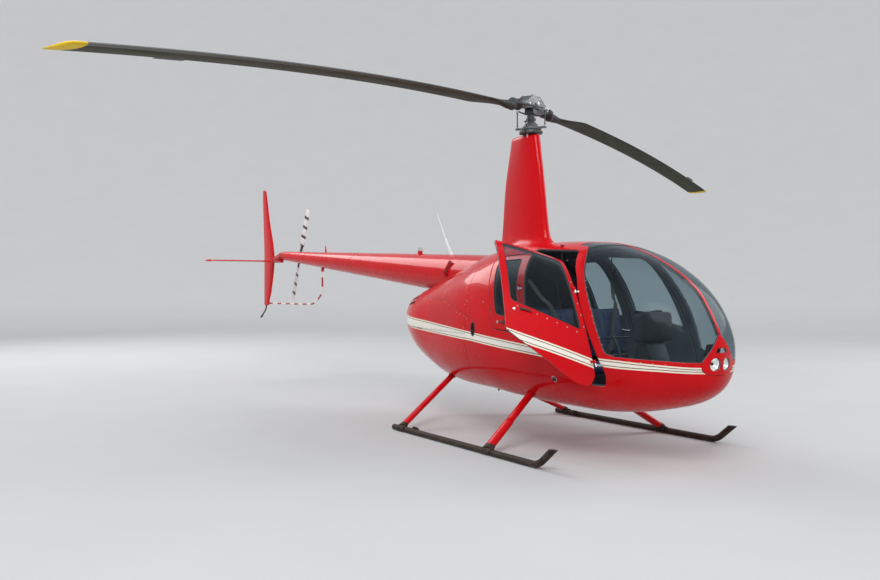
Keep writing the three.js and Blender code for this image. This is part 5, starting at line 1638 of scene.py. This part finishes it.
def landing_gear():
    for side, sign in SIDES:
        y = sign * SKID_Y
        shoes, bolts = [], []
        for end, (x, (top_x, top_y, top_z), widths) in LEGS.items():
            foot = np.array([x, y, SKID_MIDDLE + 0.0255])
            top = np.array([top_x, sign * top_y, top_z])
            piece(f"leg_{end}_{side}", leg(foot, top + 0.03 * unit(top - foot), widths), "airframe",
                  "red_paint", plain_paint, replaces=(f"strut_{end}_{side}",))
            run = unit(top - foot)
            collar = leg(top - 0.022 * run, top + 0.012 * run,
                         [(0, widths[-1][1] + 0.010, widths[-1][2] + 0.010),
                          (1, widths[-1][1] + 0.030, widths[-1][2] + 0.030)])
            piece(f"leg_collar_{end}_{side}", collar, "airframe", "red_paint", plain_paint)
            span = np.linspace(-0.062, 0.062, 24)
            swell = 0.0325 + 0.0035 * np.cos(span / 0.062 * np.pi / 2) ** 0.5
            shoes.append(tube(np.stack([x + span, np.full(24, y), np.full(24, SKID_MIDDLE + 0.004)], axis=1),
                              swell, 28))
            shoes.append(leg(foot - (0, 0, 0.004), foot + 0.040 * run,
                             [(0, widths[0][1] + 0.010, widths[0][2] + 0.010),
                              (1, widths[0][1] + 0.006, widths[0][2] + 0.006)]))
            for shift in (-0.044, 0.044):
                bolts.append(bolt((x + shift, y, SKID_MIDDLE + 0.012), ACROSS, 0.040, 0.006))
        shoe_points, shoe_faces = merged(*shoes)
        shoe_points[:, 2] = np.maximum(shoe_points[:, 2], GROUND + 0.0015)
        piece(f"skid_shoes_{side}", (shoe_points, shoe_faces), "airframe", "skid_finish", skid_paint)
        piece(f"skid_bolts_{side}", merged(*bolts), "airframe", "bright_metal", dark_metal)
        turn = np.radians(np.linspace(0, BEND_ANGLE, 24))
        bend = np.column_stack([BEND_START + BEND_RADIUS * np.sin(turn),
                                SKID_MIDDLE + BEND_RADIUS * (1 - np.cos(turn))])
        straight = np.column_stack([np.linspace(SKID_REAR + 0.002, BEND_START - 0.010, 60),
                                    np.full(60, SKID_MIDDLE)])
        slope = np.tan(turn[-1])
        climb = bend[-1] + (TOE_TOP - bend[-1, 1]) / slope * np.outer((0.25, 0.5, 1), (1, slope))
        line = np.concatenate([[(SKID_REAR, SKID_MIDDLE)], straight, bend, climb])
        path = np.column_stack([line[:, 0], np.full(len(line), y), line[:, 1]])
        radius = np.full(len(path), 0.0285)
        radius[0] = 0.0262
        points, faces = tube(path, radius, 32)
        run = unit(path[-1] - path[-2])
        points[-34:-2] += run * (TOE_TOP - points[-34:-2, 2:]) / run[2]
        points[:, 2] = np.maximum(points[:, 2], GROUND)
        piece(f"skid_tube_{side}", (points, faces), "airframe", "skid_finish", skid_paint,
              replaces=(f"skid_{side}",))
        eye = SKID_MIDDLE + 0.0135
        post = rod((-0.470, y - sign * 0.030, eye), (-0.470, y - sign * 0.072, eye), 0.0125, 20)
        line = rounded([(-0.520, 0.042, 0.008), (-0.420, 0.042, 0.008), (-0.432, 0.096, 0.012),
                        (-0.508, 0.096, 0.012)])
        plate = slab(line, 0.008, (0, y - sign * 0.034 - 0.004, 0), ALONG, UP, 0.002)
        piece(f"wheel_bracket_{side}", merged(post, plate), "airframe", "skid_finish", skid_paint)


def skid_finish():
    """Brown paint over steel: rust and mud patches, with bare metal along the underside."""
    finish = Finish("skid_paint")
    place = finish.own()
    z = finish.parts(place)[2]
    mud = finish.noise(finish.stretch(place, (2.0, 6.0, 6.0)), 5.0, 6.0).ramp(0.42, 0.66)
    chips = finish.noise(place, 60.0, 5.0)
    scrape = (GROUND + 0.016 - z).ramp(0.0, 0.014) * chips.ramp(0.40, 0.55)
    colour = finish.mix(mud, (0.024, 0.013, 0.010), (0.055, 0.040, 0.030))
    colour = finish.mix(chips.ramp(0.62, 0.66) * 0.6, colour, (0.16, 0.075, 0.040))
    colour = finish.mix(scrape, colour, (0.30, 0.29, 0.28))
    return finish.done(finish.principled(base_color=colour, roughness=0.6 + mud * 0.25 - scrape * 0.2,
                                         specular_ior_level=0.25, metallic=scrape * 0.8,
                                         normal=finish.bump(chips + mud * 0.6, 0.0010, 0.7)))


skid_paint = skid_finish()
landing_gear()


# Aerials and the beacon on top of the tailcone.

def aerials():
    beacon_x = -1.990
    whip = smooth_path([(-1.345, 0, 1.748), (-1.362, 0, 1.790), (-1.400, 0, 1.842), (-1.520, 0, 2.040),
                        (-1.640, 0, 2.240)], 40)
    radius = np.interp(np.linspace(0, 1, 40), (0, 0.05, 0.37, 0.42, 1.0), (0.025, 0.020, 0.013, 0.007, 0.003))
    piece("whip_aerial", tube(whip, radius, 16, up=(0, 1, 0)), "airframe", "white_plastic", white_plastic,
          replaces=("whip_antenna",))
    foot = turned([(0, 0.050), (0.004, 0.048), (0.010, 0.036), (0.016, 0.030)], (-1.345, 0, 1.744),
                  (0.07, 0, 1), 36)
    piece("whip_foot", foot, "airframe", "white_plastic", white_plastic)
    base = turned([(0, 0.040), (0.012, 0.038), (0.020, 0.030), (0.056, 0.028), (0.060, 0.031),
                   (0.066, 0.031)], (beacon_x, 0, 1.762), UP, 40)
    piece("beacon_foot", base, "airframe", "red_paint", plain_paint)
    lens = turned([(0, 0.0265), (0.004, 0.0275), (0.030, 0.0265), (0.038, 0.0235), (0.043, 0.016),
                   (0.045, 0.006)],
                  (beacon_x, 0, 1.8265), UP, 40)
    piece("beacon_lens", lens, "airframe", "tinted_glass", clear_glass, replaces=("beacon",))
    core = turned([(0, 0.012), (0.006, 0.012), (0.008, 0.008), (0.026, 0.008), (0.030, 0.004)],
                  (beacon_x, 0, 1.8275), UP, 20)
    piece("beacon_lamp", core, "airframe", "bright_metal", mirror_metal)
    stub = boxy([(1.808, -4.412, 0.032, -0.012, 0.012), (1.852, -4.412, 0.028, -0.010, 0.010),
                 (1.868, -4.414, 0.020, -0.007, 0.007), (1.940, -4.424, 0.015, -0.005, 0.005),
                 (1.958, -4.427, 0.010, -0.004, 0.004)], power=2.4, axis=2)
    piece("stub_aerial", stub, "airframe", "red_paint", plain_paint)


def exhaust():
    """The stack under the engine, a pipe open at its lower end, with a drain tube well ahead of it."""
    start, end = np.array([-1.150, 0.150, 0.600]), np.array([-1.205, 0.150, 0.432])
    reach = float(np.linalg.norm(end - start))
    lip = [(0.0, 0.031), (reach - 0.004, 0.031), (reach, 0.0295), (reach, 0.0275), (reach - 0.10, 0.0270)]
    drain = [(0.0, 0.009), (0.038, 0.009), (0.040, 0.008), (0.040, 0.006), (0.020, 0.006)]
    piece("exhaust_stack", merged(turned(lip, start, end - start, 40),
                                  turned(drain, (-0.36, -0.10, 0.435), (0, 0, -1), 20)),
          "airframe", "engine_metal", dark_metal)


aerials()
exhaust()


# The cabin: padded seats, straps, the console, the controls and the carpeted floor.

def simulated(form, cap, voxel=0.0075):
    """Remeshes a closed form and lets cloth under pressure swell it, no point moving further than cap."""
    scene = bpy.context.scene
    work = bpy.data.objects.new("pad_work", mesh_of("pad_work", form))
    scene.collection.objects.link(work)
    remesh = work.modifiers.new("remesh", "REMESH")
    remesh.mode = "VOXEL"
    remesh.voxel_size = voxel
    even = bpy.data.meshes.new_from_object(work.evaluated_get(bpy.context.evaluated_depsgraph_get()))
    work.modifiers.clear()
    work.data = even
    before = read_points(even)
    cloth = work.modifiers.new("cloth", "CLOTH")
    cloth.settings.use_pressure = True
    cloth.settings.uniform_pressure_force = 4.0
    cloth.settings.quality = 4
    cloth.settings.effector_weights.gravity = 0.0
    frames = 20
    cloth.point_cache.frame_end = frames
    for number in range(1, frames + 1):
        scene.frame_set(number)
    swollen = bpy.data.meshes.new_from_object(work.evaluated_get(bpy.context.evaluated_depsgraph_get()))
    move = read_points(swollen) - before
    reach = np.linalg.norm(move, axis=1, keepdims=True)
    points = before + move * np.minimum(1, cap / np.maximum(reach, 1e-9))
    sizes = np.empty(len(even.polygons), np.int32)
    even.polygons.foreach_get("loop_total", sizes)
    corners = np.empty(len(even.loops), np.int32)
    even.loops.foreach_get("vertex_index", corners)
    starts = np.r_[0, np.cumsum(sizes)[:-1]]
    faces = [corners[starts[sizes == n][:, None] + np.arange(n)] for n in np.unique(sizes)]
    scene.frame_set(1)
    bpy.data.objects.remove(work)
    return points - MAST, faces


def read_points(mesh):
    points = np.empty(len(mesh.vertices) * 3)
    mesh.vertices.foreach_get("co", points)
    return points.reshape(-1, 3)


def point_normals(form):
    points, faces = form
    total = np.zeros_like(points)
    for block in faces:
        face = np.cross(points[block[:, 1]] - points[block[:, 0]], points[block[:, -1]] - points[block[:, 0]])
        for k in range(block.shape[1]):
            np.add.at(total, block[:, k], face)
    return unit(total)


def sewn(form, lines, facing, depth=0.006, width=0.007):
    """Draws the surface in along straight seams: a bell-shaped groove at each y, on one side."""
    points, faces = form
    normals = point_normals(form)
    side = np.clip((normals @ np.asarray(facing) - 0.25) / 0.4, 0, 1)
    away = np.min(np.abs(points[:, 1][:, None] - np.asarray(lines)), axis=1)
    return points - normals * (depth * side * np.exp(-(away / width) ** 2))[:, None], faces


SWELL = 0.022  # how far the padding may swell


def pad(name, corners, y0, y1, seams, facing, replaces):
    """A cushion: its side view drawn in by the swelling to come, padded, sewn, then smoothed once."""
    inset = 0.6 * SWELL
    outline = grown(resampled(rounded(corners), 0.02), -inset)
    form = slab(outline, (y1 - y0) - 2 * inset, (0, y0 + inset, 0), (1, 0, 0), (0, 0, 1), 0.016)
    form = sewn(simulated(form, SWELL), seams, facing)
    thing = piece(name, form, "airframe", "blue_leather", leather, replaces=replaces, sharp=180)
    smooth = thing.modifiers.new("smooth", "SUBSURF")
    smooth.levels = smooth.render_levels = 1
    return form


def drawn_to(form, path, lift):
    """Moves each point of a path to the nearest point of a form, lifted off it."""
    points, _ = form
    nearest = np.argmin(((path[:, None] - points[None]) ** 2).sum(axis=2), axis=1)
    normals = point_normals(form)
    spots = points[nearest] + normals[nearest] * lift
    for _ in range(4):
        spots[1:-1] = (spots[:-2] + 2 * spots[1:-1] + spots[2:]) / 4
    return spots


CUSHION = [(0.766, 0.692, 0.020), (1.222, 0.702, 0.020), (1.240, 0.770, 0.035), (1.180, 0.800, 0.040),
           (0.775, 0.775, 0.030)]
BACKREST = [(0.742, 0.782, 0.020), (0.858, 0.790, 0.035), (0.735, 1.265, 0.040), (0.660, 1.274, 0.035),
            (0.642, 1.180, 0.020)]
REAR_ROW = 0.765  # how far the rear seats lie behind the front ones


def behind(corners):
    return [(x - REAR_ROW, *rest) for x, *rest in corners]


def seats():
    piping = []
    for side, y0, y1 in (("right", -0.498, -0.072), ("left", 0.072, 0.498)):
        seams = np.linspace(y0 + 0.085, y1 - 0.085, 5)
        lower = pad(f"seat_cushion_{side}", CUSHION, y0, y1, seams, (0, 0, 1),
                    (f"front_seat_cushion_{side}",))
        upper = pad(f"seat_backrest_{side}", BACKREST, y0, y1, seams, (1, 0, 0.2),
                    (f"front_seat_back_{side}",))
        piping += edge_piping(lower, CUSHION, y0, y1) + edge_piping(upper, BACKREST, y0, y1)
    rear_low, rear_high = behind(CUSHION), behind(BACKREST)
    seams = [-0.40, -0.31, -0.22, -0.13, 0.0, 0.13, 0.22, 0.31, 0.40]
    lower = pad("rear_bench_cushion", rear_low, -0.526, 0.526, seams, (0, 0, 1), ("rear_seat_cushion",))
    upper = pad("rear_bench_backrest", rear_high, -0.476, 0.476, seams, (1, 0, 0.2), ("rear_seat_back",))
    piping += edge_piping(lower, rear_low, -0.526, 0.526) + edge_piping(upper, rear_high, -0.476, 0.476)
    piece("seat_piping", merged(*piping), "airframe", "black_plastic", rubber)


def edge_piping(form, corners, y0, y1):
    line = resampled(rounded(corners), 0.022)
    forms = []
    for y in (y0 + 0.010, y1 - 0.010):
        path = np.column_stack([line[:, 0], np.full(len(line), y), line[:, 1]])
        centre = path.mean(axis=0)
        path = centre + (path - centre) * (0.985, 1, 0.985)
        spots = drawn_to(form, path, 0.001)
        forms.append(tube(spots, 0.0042, 8, closed=True, up=(0, 1, 0)))
    return forms


def strap(path, width, face, thick=0.0026):
    """Flat webbing: a thin rounded section carried along a path, broad side towards the given direction."""
    path = smooth_path(path, 60)
    ahead = directions(path)
    face = np.broadcast_to(np.asarray(face, float), path.shape)
    across = unit(np.cross(ahead, face))
    out = np.cross(across, ahead)
    angle = np.linspace(0, 2 * np.pi, 16, endpoint=False)[None, :, None]
    c, s = np.cos(angle), np.sin(angle)
    c, s = np.sign(c) * np.abs(c) ** 0.35, np.sign(s) * np.abs(s) ** 0.6
    return loft(path[:, None] + width / 2 * c * across[:, None] + thick / 2 * s * out[:, None])


def belts():
    webbing, buckles, buttons = [], [], []
    for sign in (-1, 1):
        for back in (0.0, REAR_ROW):
            outer, inner = 0.455 * sign, 0.115 * sign
            top = (-0.120, 0.44 * sign, 1.46) if back else (0.594, 0.508 * sign, 1.50)
            chest = [top, (0.705 - back, outer * 0.93, 1.325), (0.752 - back, outer * 0.88, 1.285),
                     (0.800 - back, outer * 0.72, 1.12), (0.872 - back, outer * 0.50, 0.90),
                     (0.888 - back, inner * 1.25, 0.838)]
            webbing.append(strap(chest, 0.046, (1, 0, 0.35)))
            lap = [(0.800 - back, outer * 1.03, 0.775), (0.860 - back, outer * 0.99, 0.822),
                   (0.930 - back, outer * 0.72, 0.832), (0.925 - back, inner * 1.6, 0.832),
                   (0.892 - back, inner * 1.15, 0.836)]
            webbing.append(strap(lap, 0.046, (0.15, 0, 1)))
            buckle = boxy([(-0.034, 0, 0.022, -0.010, 0.010), (-0.030, 0, 0.026, -0.012, 0.012),
                           (0.030, 0, 0.026, -0.012, 0.012), (0.034, 0, 0.022, -0.010, 0.010)], power=5)
            turn = about((0, 0, 1), math.radians(60 * sign)) @ about((0, 1, 0), math.radians(-24))
            spot = np.array([0.900 - back, inner * 1.10, 0.850])
            buckles.append(moved(buckle, spot, turn))
            red = boxy([(-0.012, 0, 0.010, -0.003, 0.003), (-0.010, 0, 0.012, -0.004, 0.004),
                        (0.010, 0, 0.012, -0.004, 0.004), (0.012, 0, 0.010, -0.003, 0.003)], power=5)
            buttons.append(moved(red, spot + turn @ np.array([0.014, 0, 0.0115]), turn))
            if not back:
                buckles.append(rod((0.586, 0.552 * sign, 1.50), (0.586, 0.518 * sign, 1.50), 0.018, 20))
    piece("belt_webbing", merged(*webbing), "airframe", "blue_leather", webbing_cloth)
    piece("belt_buckles", merged(*buckles), "airframe", "black_plastic", black_plastic)
    piece("belt_buttons", merged(*buttons), "airframe", "red_paint", plain_paint)


def console():
    """A pedestal that leans forward under a hooded panel with round dials and rows of plain switches."""
    pedestal = rounded([(1.290, 0.509, 0.01), (1.690, 0.509, 0.02), (1.718, 0.760, 0.04),
                        (1.602, 1.008, 0.02), (1.522, 1.008, 0.02), (1.425, 0.705, 0.06),
                        (1.290, 0.640, 0.02)])
    body = slab(pedestal, 0.218, (0, -0.109, 0), (1, 0, 0), (0, 0, 1), 0.008)
    face = rounded([(-0.188, 1.002, 0.02), (0.188, 1.002, 0.02), (0.168, 1.238, 0.045),
                    (-0.168, 1.238, 0.045)])
    pod = slab(face, 0.104, (1.636, 0, 0), (0, 1, 0), (0, 0, 1), 0.010)
    hood_line = rounded([(-0.170, 1.226, 0.03), (0.170, 1.226, 0.03), (0.160, 1.240, 0.006),
                         (-0.160, 1.240, 0.006)])
    hood = slab(hood_line, 0.035, (1.535, 0, 0), (0, 1, 0), (0, 0, 1), 0.003)
    piece("console_body", merged(body, pod, hood), "airframe", "black_plastic", black_plastic,
          replaces=("console",))
    rims, faces, needles, knobs = [], [], [], []
    x = 1.530
    dials = [(y, z, 0.038) for z in (1.178, 1.090) for y in (-0.088, 0.0, 0.088)] + [
        (y, 1.034, 0.014) for y in (-0.14, -0.10, -0.06, 0.06, 0.10, 0.14)]
    dial_places = []
    for y, z, radius in dials:
        rims.append(turned([(0, radius * 1.12), (0.003, radius * 1.12), (0.004, radius * 1.04),
                            (0.001, radius)], (x + 0.003, y, z), (-1, 0, 0), 40))
        dial = turned([(0, radius), (0.0012, radius), (0.0013, radius * 0.5)],
                      (x + 0.0025, y, z), (-1, 0, 0), 40)
        faces.append(dial)
        dial_places.append((dial[0] - (x, y, z)) / radius)
        if radius > 0.02:
            lean = 2.3 * y / 0.088 + (z - 1.1) * 20
            tip = np.array([0, math.sin(lean), math.cos(lean)]) * radius * 0.72
            needles.append(tube([(x - 0.001, y - tip[1] * 0.25, z - tip[2] * 0.25), (x - 0.001, y, z),
                                 (x - 0.001, y + tip[1], z + tip[2])],
                                np.array([0.0018, 0.0022, 0.0007]), 8))
    for z in (0.90, 0.84, 0.78):
        lean = 1.425 + (z - 0.705) / 0.303 * 0.097
        plate = box_line(-0.080, -0.024, 0.080, 0.024, 0.004)
        knobs.append(slab(plate, 0.006, (lean - 0.004, 0, z), (0, 1, 0), (0.31, 0, 0.95), 0.002))
        for y in (-0.062, 0.062):
            knobs.append(turned([(0, 0.010), (0.010, 0.009), (0.012, 0.006)], (lean - 0.005, y, z),
                                (-0.95, 0, 0.31), 20))
    piece("dial_rims", merged(*rims), "airframe", "black_plastic", rubber)
    piece("dial_faces", merged(*faces), "airframe", "black_plastic", dial_finish(),
          places=np.concatenate(dial_places))
    piece("dial_needles", merged(*needles), "airframe", "white_plastic", white_plastic)
    piece("console_knobs", merged(*knobs), "airframe", "black_plastic", black_plastic)


def dial_finish():
    """White ticks round a black face, by the angle and distance from the dial's middle."""
    finish = Finish("dial_face")
    _, y, z = finish.parts(finish.own())
    away = (y * y + z * z).math("SQRT")
    turn = y.math("ARCTAN2", z) / (2 * math.pi) * 20.0
    tick = (turn.math("FRACT") - 0.5).size() > 0.43
    ticks = tick * between(away, 0.74, 0.92)
    colour = finish.mix(ticks, (0.012, 0.012, 0.013), (0.75, 0.75, 0.72))
    return finish.done(finish.principled(base_color=colour, roughness=0.5 - ticks * 0.1, coat_weight=0.8,
                                         coat_roughness=0.03))


def controls():
    stick = smooth_path([(1.230, 0, 0.509), (1.236, 0, 0.700), (1.200, 0, 0.900), (1.130, 0, 1.008)], 40)
    shaft = tube(stick, np.interp(np.linspace(0, 1, 40), (0, 0.1, 1), (0.020, 0.014, 0.012)), 16,
                 up=(0, 1, 0))
    bar = tube([(1.130, y, 1.004) for y in (-0.330, -0.16, 0.0, 0.16, 0.330)], 0.010, 14)
    joint = turned([(-0.022, 0.014), (-0.018, 0.018), (0.018, 0.018), (0.022, 0.014)], (1.130, 0, 1.005),
                   (0, 1, 0), 24)
    grips = []
    for y in (-0.330, 0.330):
        grips.append(turned([(0, 0.010), (0.004, 0.015), (0.020, 0.0165), (0.034, 0.0145), (0.050, 0.0170),
                             (0.066, 0.0150), (0.082, 0.0175), (0.096, 0.016), (0.104, 0.009)],
                            (1.128, y, 0.986), (0.08, 0, 1), 24))
    piece("cyclic_tubes", merged(shaft, bar, joint), "airframe", "bright_metal", dark_metal,
          replaces=("cyclic_stick",))
    piece("cyclic_grips", merged(*grips), "airframe", "black_plastic", rubber)
    gaiter = turned([(0, 0.055), (0.006, 0.052), (0.014, 0.046), (0.020, 0.048), (0.030, 0.036),
                     (0.036, 0.038), (0.048, 0.024)],
                    (1.230, 0, 0.5095), (0, 0, 1), 32)
    piece("cyclic_gaiter", gaiter, "airframe", "black_plastic", rubber)
    plates = []
    levers = [tube([(1.740, y, 0.640) for y in np.linspace(-0.350, 0.350, 5)], 0.011, 14),
              rod((1.740, 0, 0.510), (1.740, 0, 0.634), 0.016, 16)]
    for y in (-0.330, -0.180, 0.180, 0.330):
        levers.append(tube([(1.738, y, 0.640), (1.712, y, 0.630), (1.692, y, 0.622)], 0.008, 10))
        plate = box_line(-0.034, -0.040, 0.034, 0.040, 0.010)
        plates.append(slab(plate, 0.010, (1.676, y, 0.625), (0, 1, 0), (0.10, 0, 0.99), 0.003))
        for z in (-0.022, 0.0, 0.022):
            plates.append(rod((1.674 + 0.1 * z, y - 0.026, 0.625 + z),
                              (1.674 + 0.1 * z, y + 0.026, 0.625 + z), 0.0026, 8))
    piece("pedal_levers", merged(*levers), "airframe", "bright_metal", dark_metal, replaces=("pedals",))
    piece("pedal_plates", merged(*plates), "airframe", "black_plastic", rubber)
    hooks = []
    for sign in (-1, 1):
        y = 0.300 * sign
        hooks.append(tube(smooth_path([(0.800, y, 1.800), (0.800, y, 1.700), (0.800, y, 1.610),
                                       (0.806, y, 1.580), (0.826, y, 1.566), (0.846, y, 1.580),
                                       (0.850, y, 1.606)], 40), 0.0055, 10, up=(0, 1, 0)))
        hooks.append(turned([(0, 0.018), (0.004, 0.018), (0.008, 0.010)], (0.800, y, 1.806), (0, 0, -1), 20))
    piece("headset_hooks", merged(*hooks), "airframe", "black_plastic", black_plastic)


def leather_finish():
    """Grain from small cells over broad creases, paler and smoother where it is sat on."""
    finish = Finish("leather")
    place = finish.at()
    cells = finish.node("TexVoronoi", {"feature": "DISTANCE_TO_EDGE"}, {"Vector": place, "Scale": 420.0})
    crease = finish.noise(finish.stretch(place, (1.0, 2.5, 1.0)), 14.0, 5.0)
    wear = finish.noise(place, 5.0, 5.0).ramp(0.45, 0.75)
    colour = finish.mix(wear * 0.6, (0.020, 0.034, 0.105), (0.040, 0.060, 0.150))
    colour = finish.mix((0.04 - cells).ramp(0.0, 0.04) * 0.5, colour, (0.008, 0.012, 0.035))
    height = cells.ramp(0.0, 0.10) + crease * 2.5
    return finish.done(finish.principled(base_color=colour, roughness=0.48 - wear * 0.12, sheen_weight=0.1,
                                         normal=finish.bump(height, 0.0007, 0.6)))


def webbing_finish():
    """Fine cross ribs of woven tape, with paler flecks where the fuzz noise is high."""
    finish = Finish("webbing")
    x, y, z = finish.parts(finish.at())
    ribs = ((x + z) * 900.0).math("SINE") * 0.5 + (y * 1400.0).math("SINE") * 0.3
    fuzz = finish.noise(finish.at(), 160.0, 4.0)
    colour = finish.mix(fuzz.ramp(0.35, 0.7), (0.055, 0.045, 0.040), (0.110, 0.092, 0.080))
    return finish.done(finish.principled(base_color=colour, roughness=0.85 - fuzz * 0.1, sheen_weight=0.3,
                                         normal=finish.bump(ribs + fuzz, 0.0006, 0.8)))


def carpet_finish():
    """Short loop pile: blotches of tuft height, and lint."""
    finish = Finish("carpet")
    place = finish.at()
    tufts = finish.node("TexVoronoi", {}, {"Vector": place, "Scale": 330.0})
    patch = finish.noise(place, 9.0, 5.0).ramp(0.3, 0.8)
    colour = finish.mix(patch, (0.020, 0.022, 0.028), (0.040, 0.042, 0.050))
    return finish.done(finish.principled(base_color=colour, roughness=0.95 - tufts * 0.1, sheen_weight=0.4,
                                         normal=finish.bump(tufts + patch * 0.4, 0.002, 0.9)))


def dress(node, material):
    for slot in frame["nodes"][node].material_slots:
        slot.material = material


leather = leather_finish()
webbing_cloth = webbing_finish()
carpet = carpet_finish()
seat_shell = plain_finish("seat_shell", (0.040, 0.042, 0.048), 0.6, grain=140.0)
for node, material in (("cabin_floor", carpet), ("firewall", carpet), ("engine", dark_metal),
                       ("front_seat_base", seat_shell), ("rear_seat_base", seat_shell)):
    dress(node, material)
seats()
belts()
console()
controls()


# Where the helicopter stands: a wide pale floor that rises far away, soft light from above and both sides.

def studio():
    rings, spokes = 60, 96
    floor_radius, flat_radius, slowness = 64, 20, 56
    radius = floor_radius * np.linspace(0, 1, rings)[1:] ** 1.1
    rise = np.maximum(radius - flat_radius, 0) ** 2 / slowness
    angle = np.linspace(0, 2 * np.pi, spokes, endpoint=False)
    grid = np.stack([radius[:, None] * np.cos(angle), radius[:, None] * np.sin(angle),
                     np.repeat(rise[:, None] + GROUND, spokes, axis=1)], axis=-1).reshape(-1, 3)
    fan = np.stack([np.full(spokes, len(grid)), np.arange(spokes), (np.arange(spokes) + 1) % spokes], axis=1)
    form = np.concatenate([grid, [[0, 0, GROUND]]]), [net(rings - 1, spokes, False, True), fan]
    finish = Finish("studio_floor")
    grey = finish.noise(finish.at(), 0.8, 4.0)
    colour = finish.mix(grey, (0.50, 0.50, 0.50), (0.54, 0.54, 0.53))
    x, y, _ = finish.parts(finish.own())
    away = (x * x + y * y).math("SQRT").ramp(7.0, 26.0)
    glow = finish.mix(away, (0.0, 0.0, 0.0), (0.23, 0.22, 0.215))
    mesh = mesh_of("studio_floor", form)
    mesh.materials.append(finish.done(finish.principled(
        base_color=colour, roughness=0.95, specular_ior_level=0.0, emission_color=glow,
        emission_strength=1.0)))
    floor = bpy.data.objects.new("studio_floor", mesh)
    bpy.context.scene.collection.objects.link(floor)

    world = bpy.data.worlds.new("studio_light")
    world.use_nodes = True
    world.node_tree.nodes["Background"].inputs["Color"].default_value = (0.86, 0.92, 1.0, 1.0)
    world.node_tree.nodes["Background"].inputs["Strength"].default_value = 0.72
    bpy.context.scene.world = world
    bpy.context.scene.view_settings.view_transform = "Standard"
    for name, place, size, power in (
            ("key", (9.0, -9.0, 11.0), 7.0, 1350.0), ("fill", (4.0, 12.0, 9.0), 9.0, 900.0),
            ("rear", (-12.0, -3.0, 9.0), 7.0, 800.0)):
        light = bpy.data.lights.new(name, "AREA")
        light.size = size
        light.energy = power
        lamp = bpy.data.objects.new(name, light)
        lamp.location = Vector(place) + Vector(MAST)
        aim = Vector(MAST) + Vector((0.0, 0.0, 1.2)) - lamp.location
        lamp.rotation_euler = aim.to_track_quat("-Z", "Y").to_euler()
        bpy.context.scene.collection.objects.link(lamp)


studio()
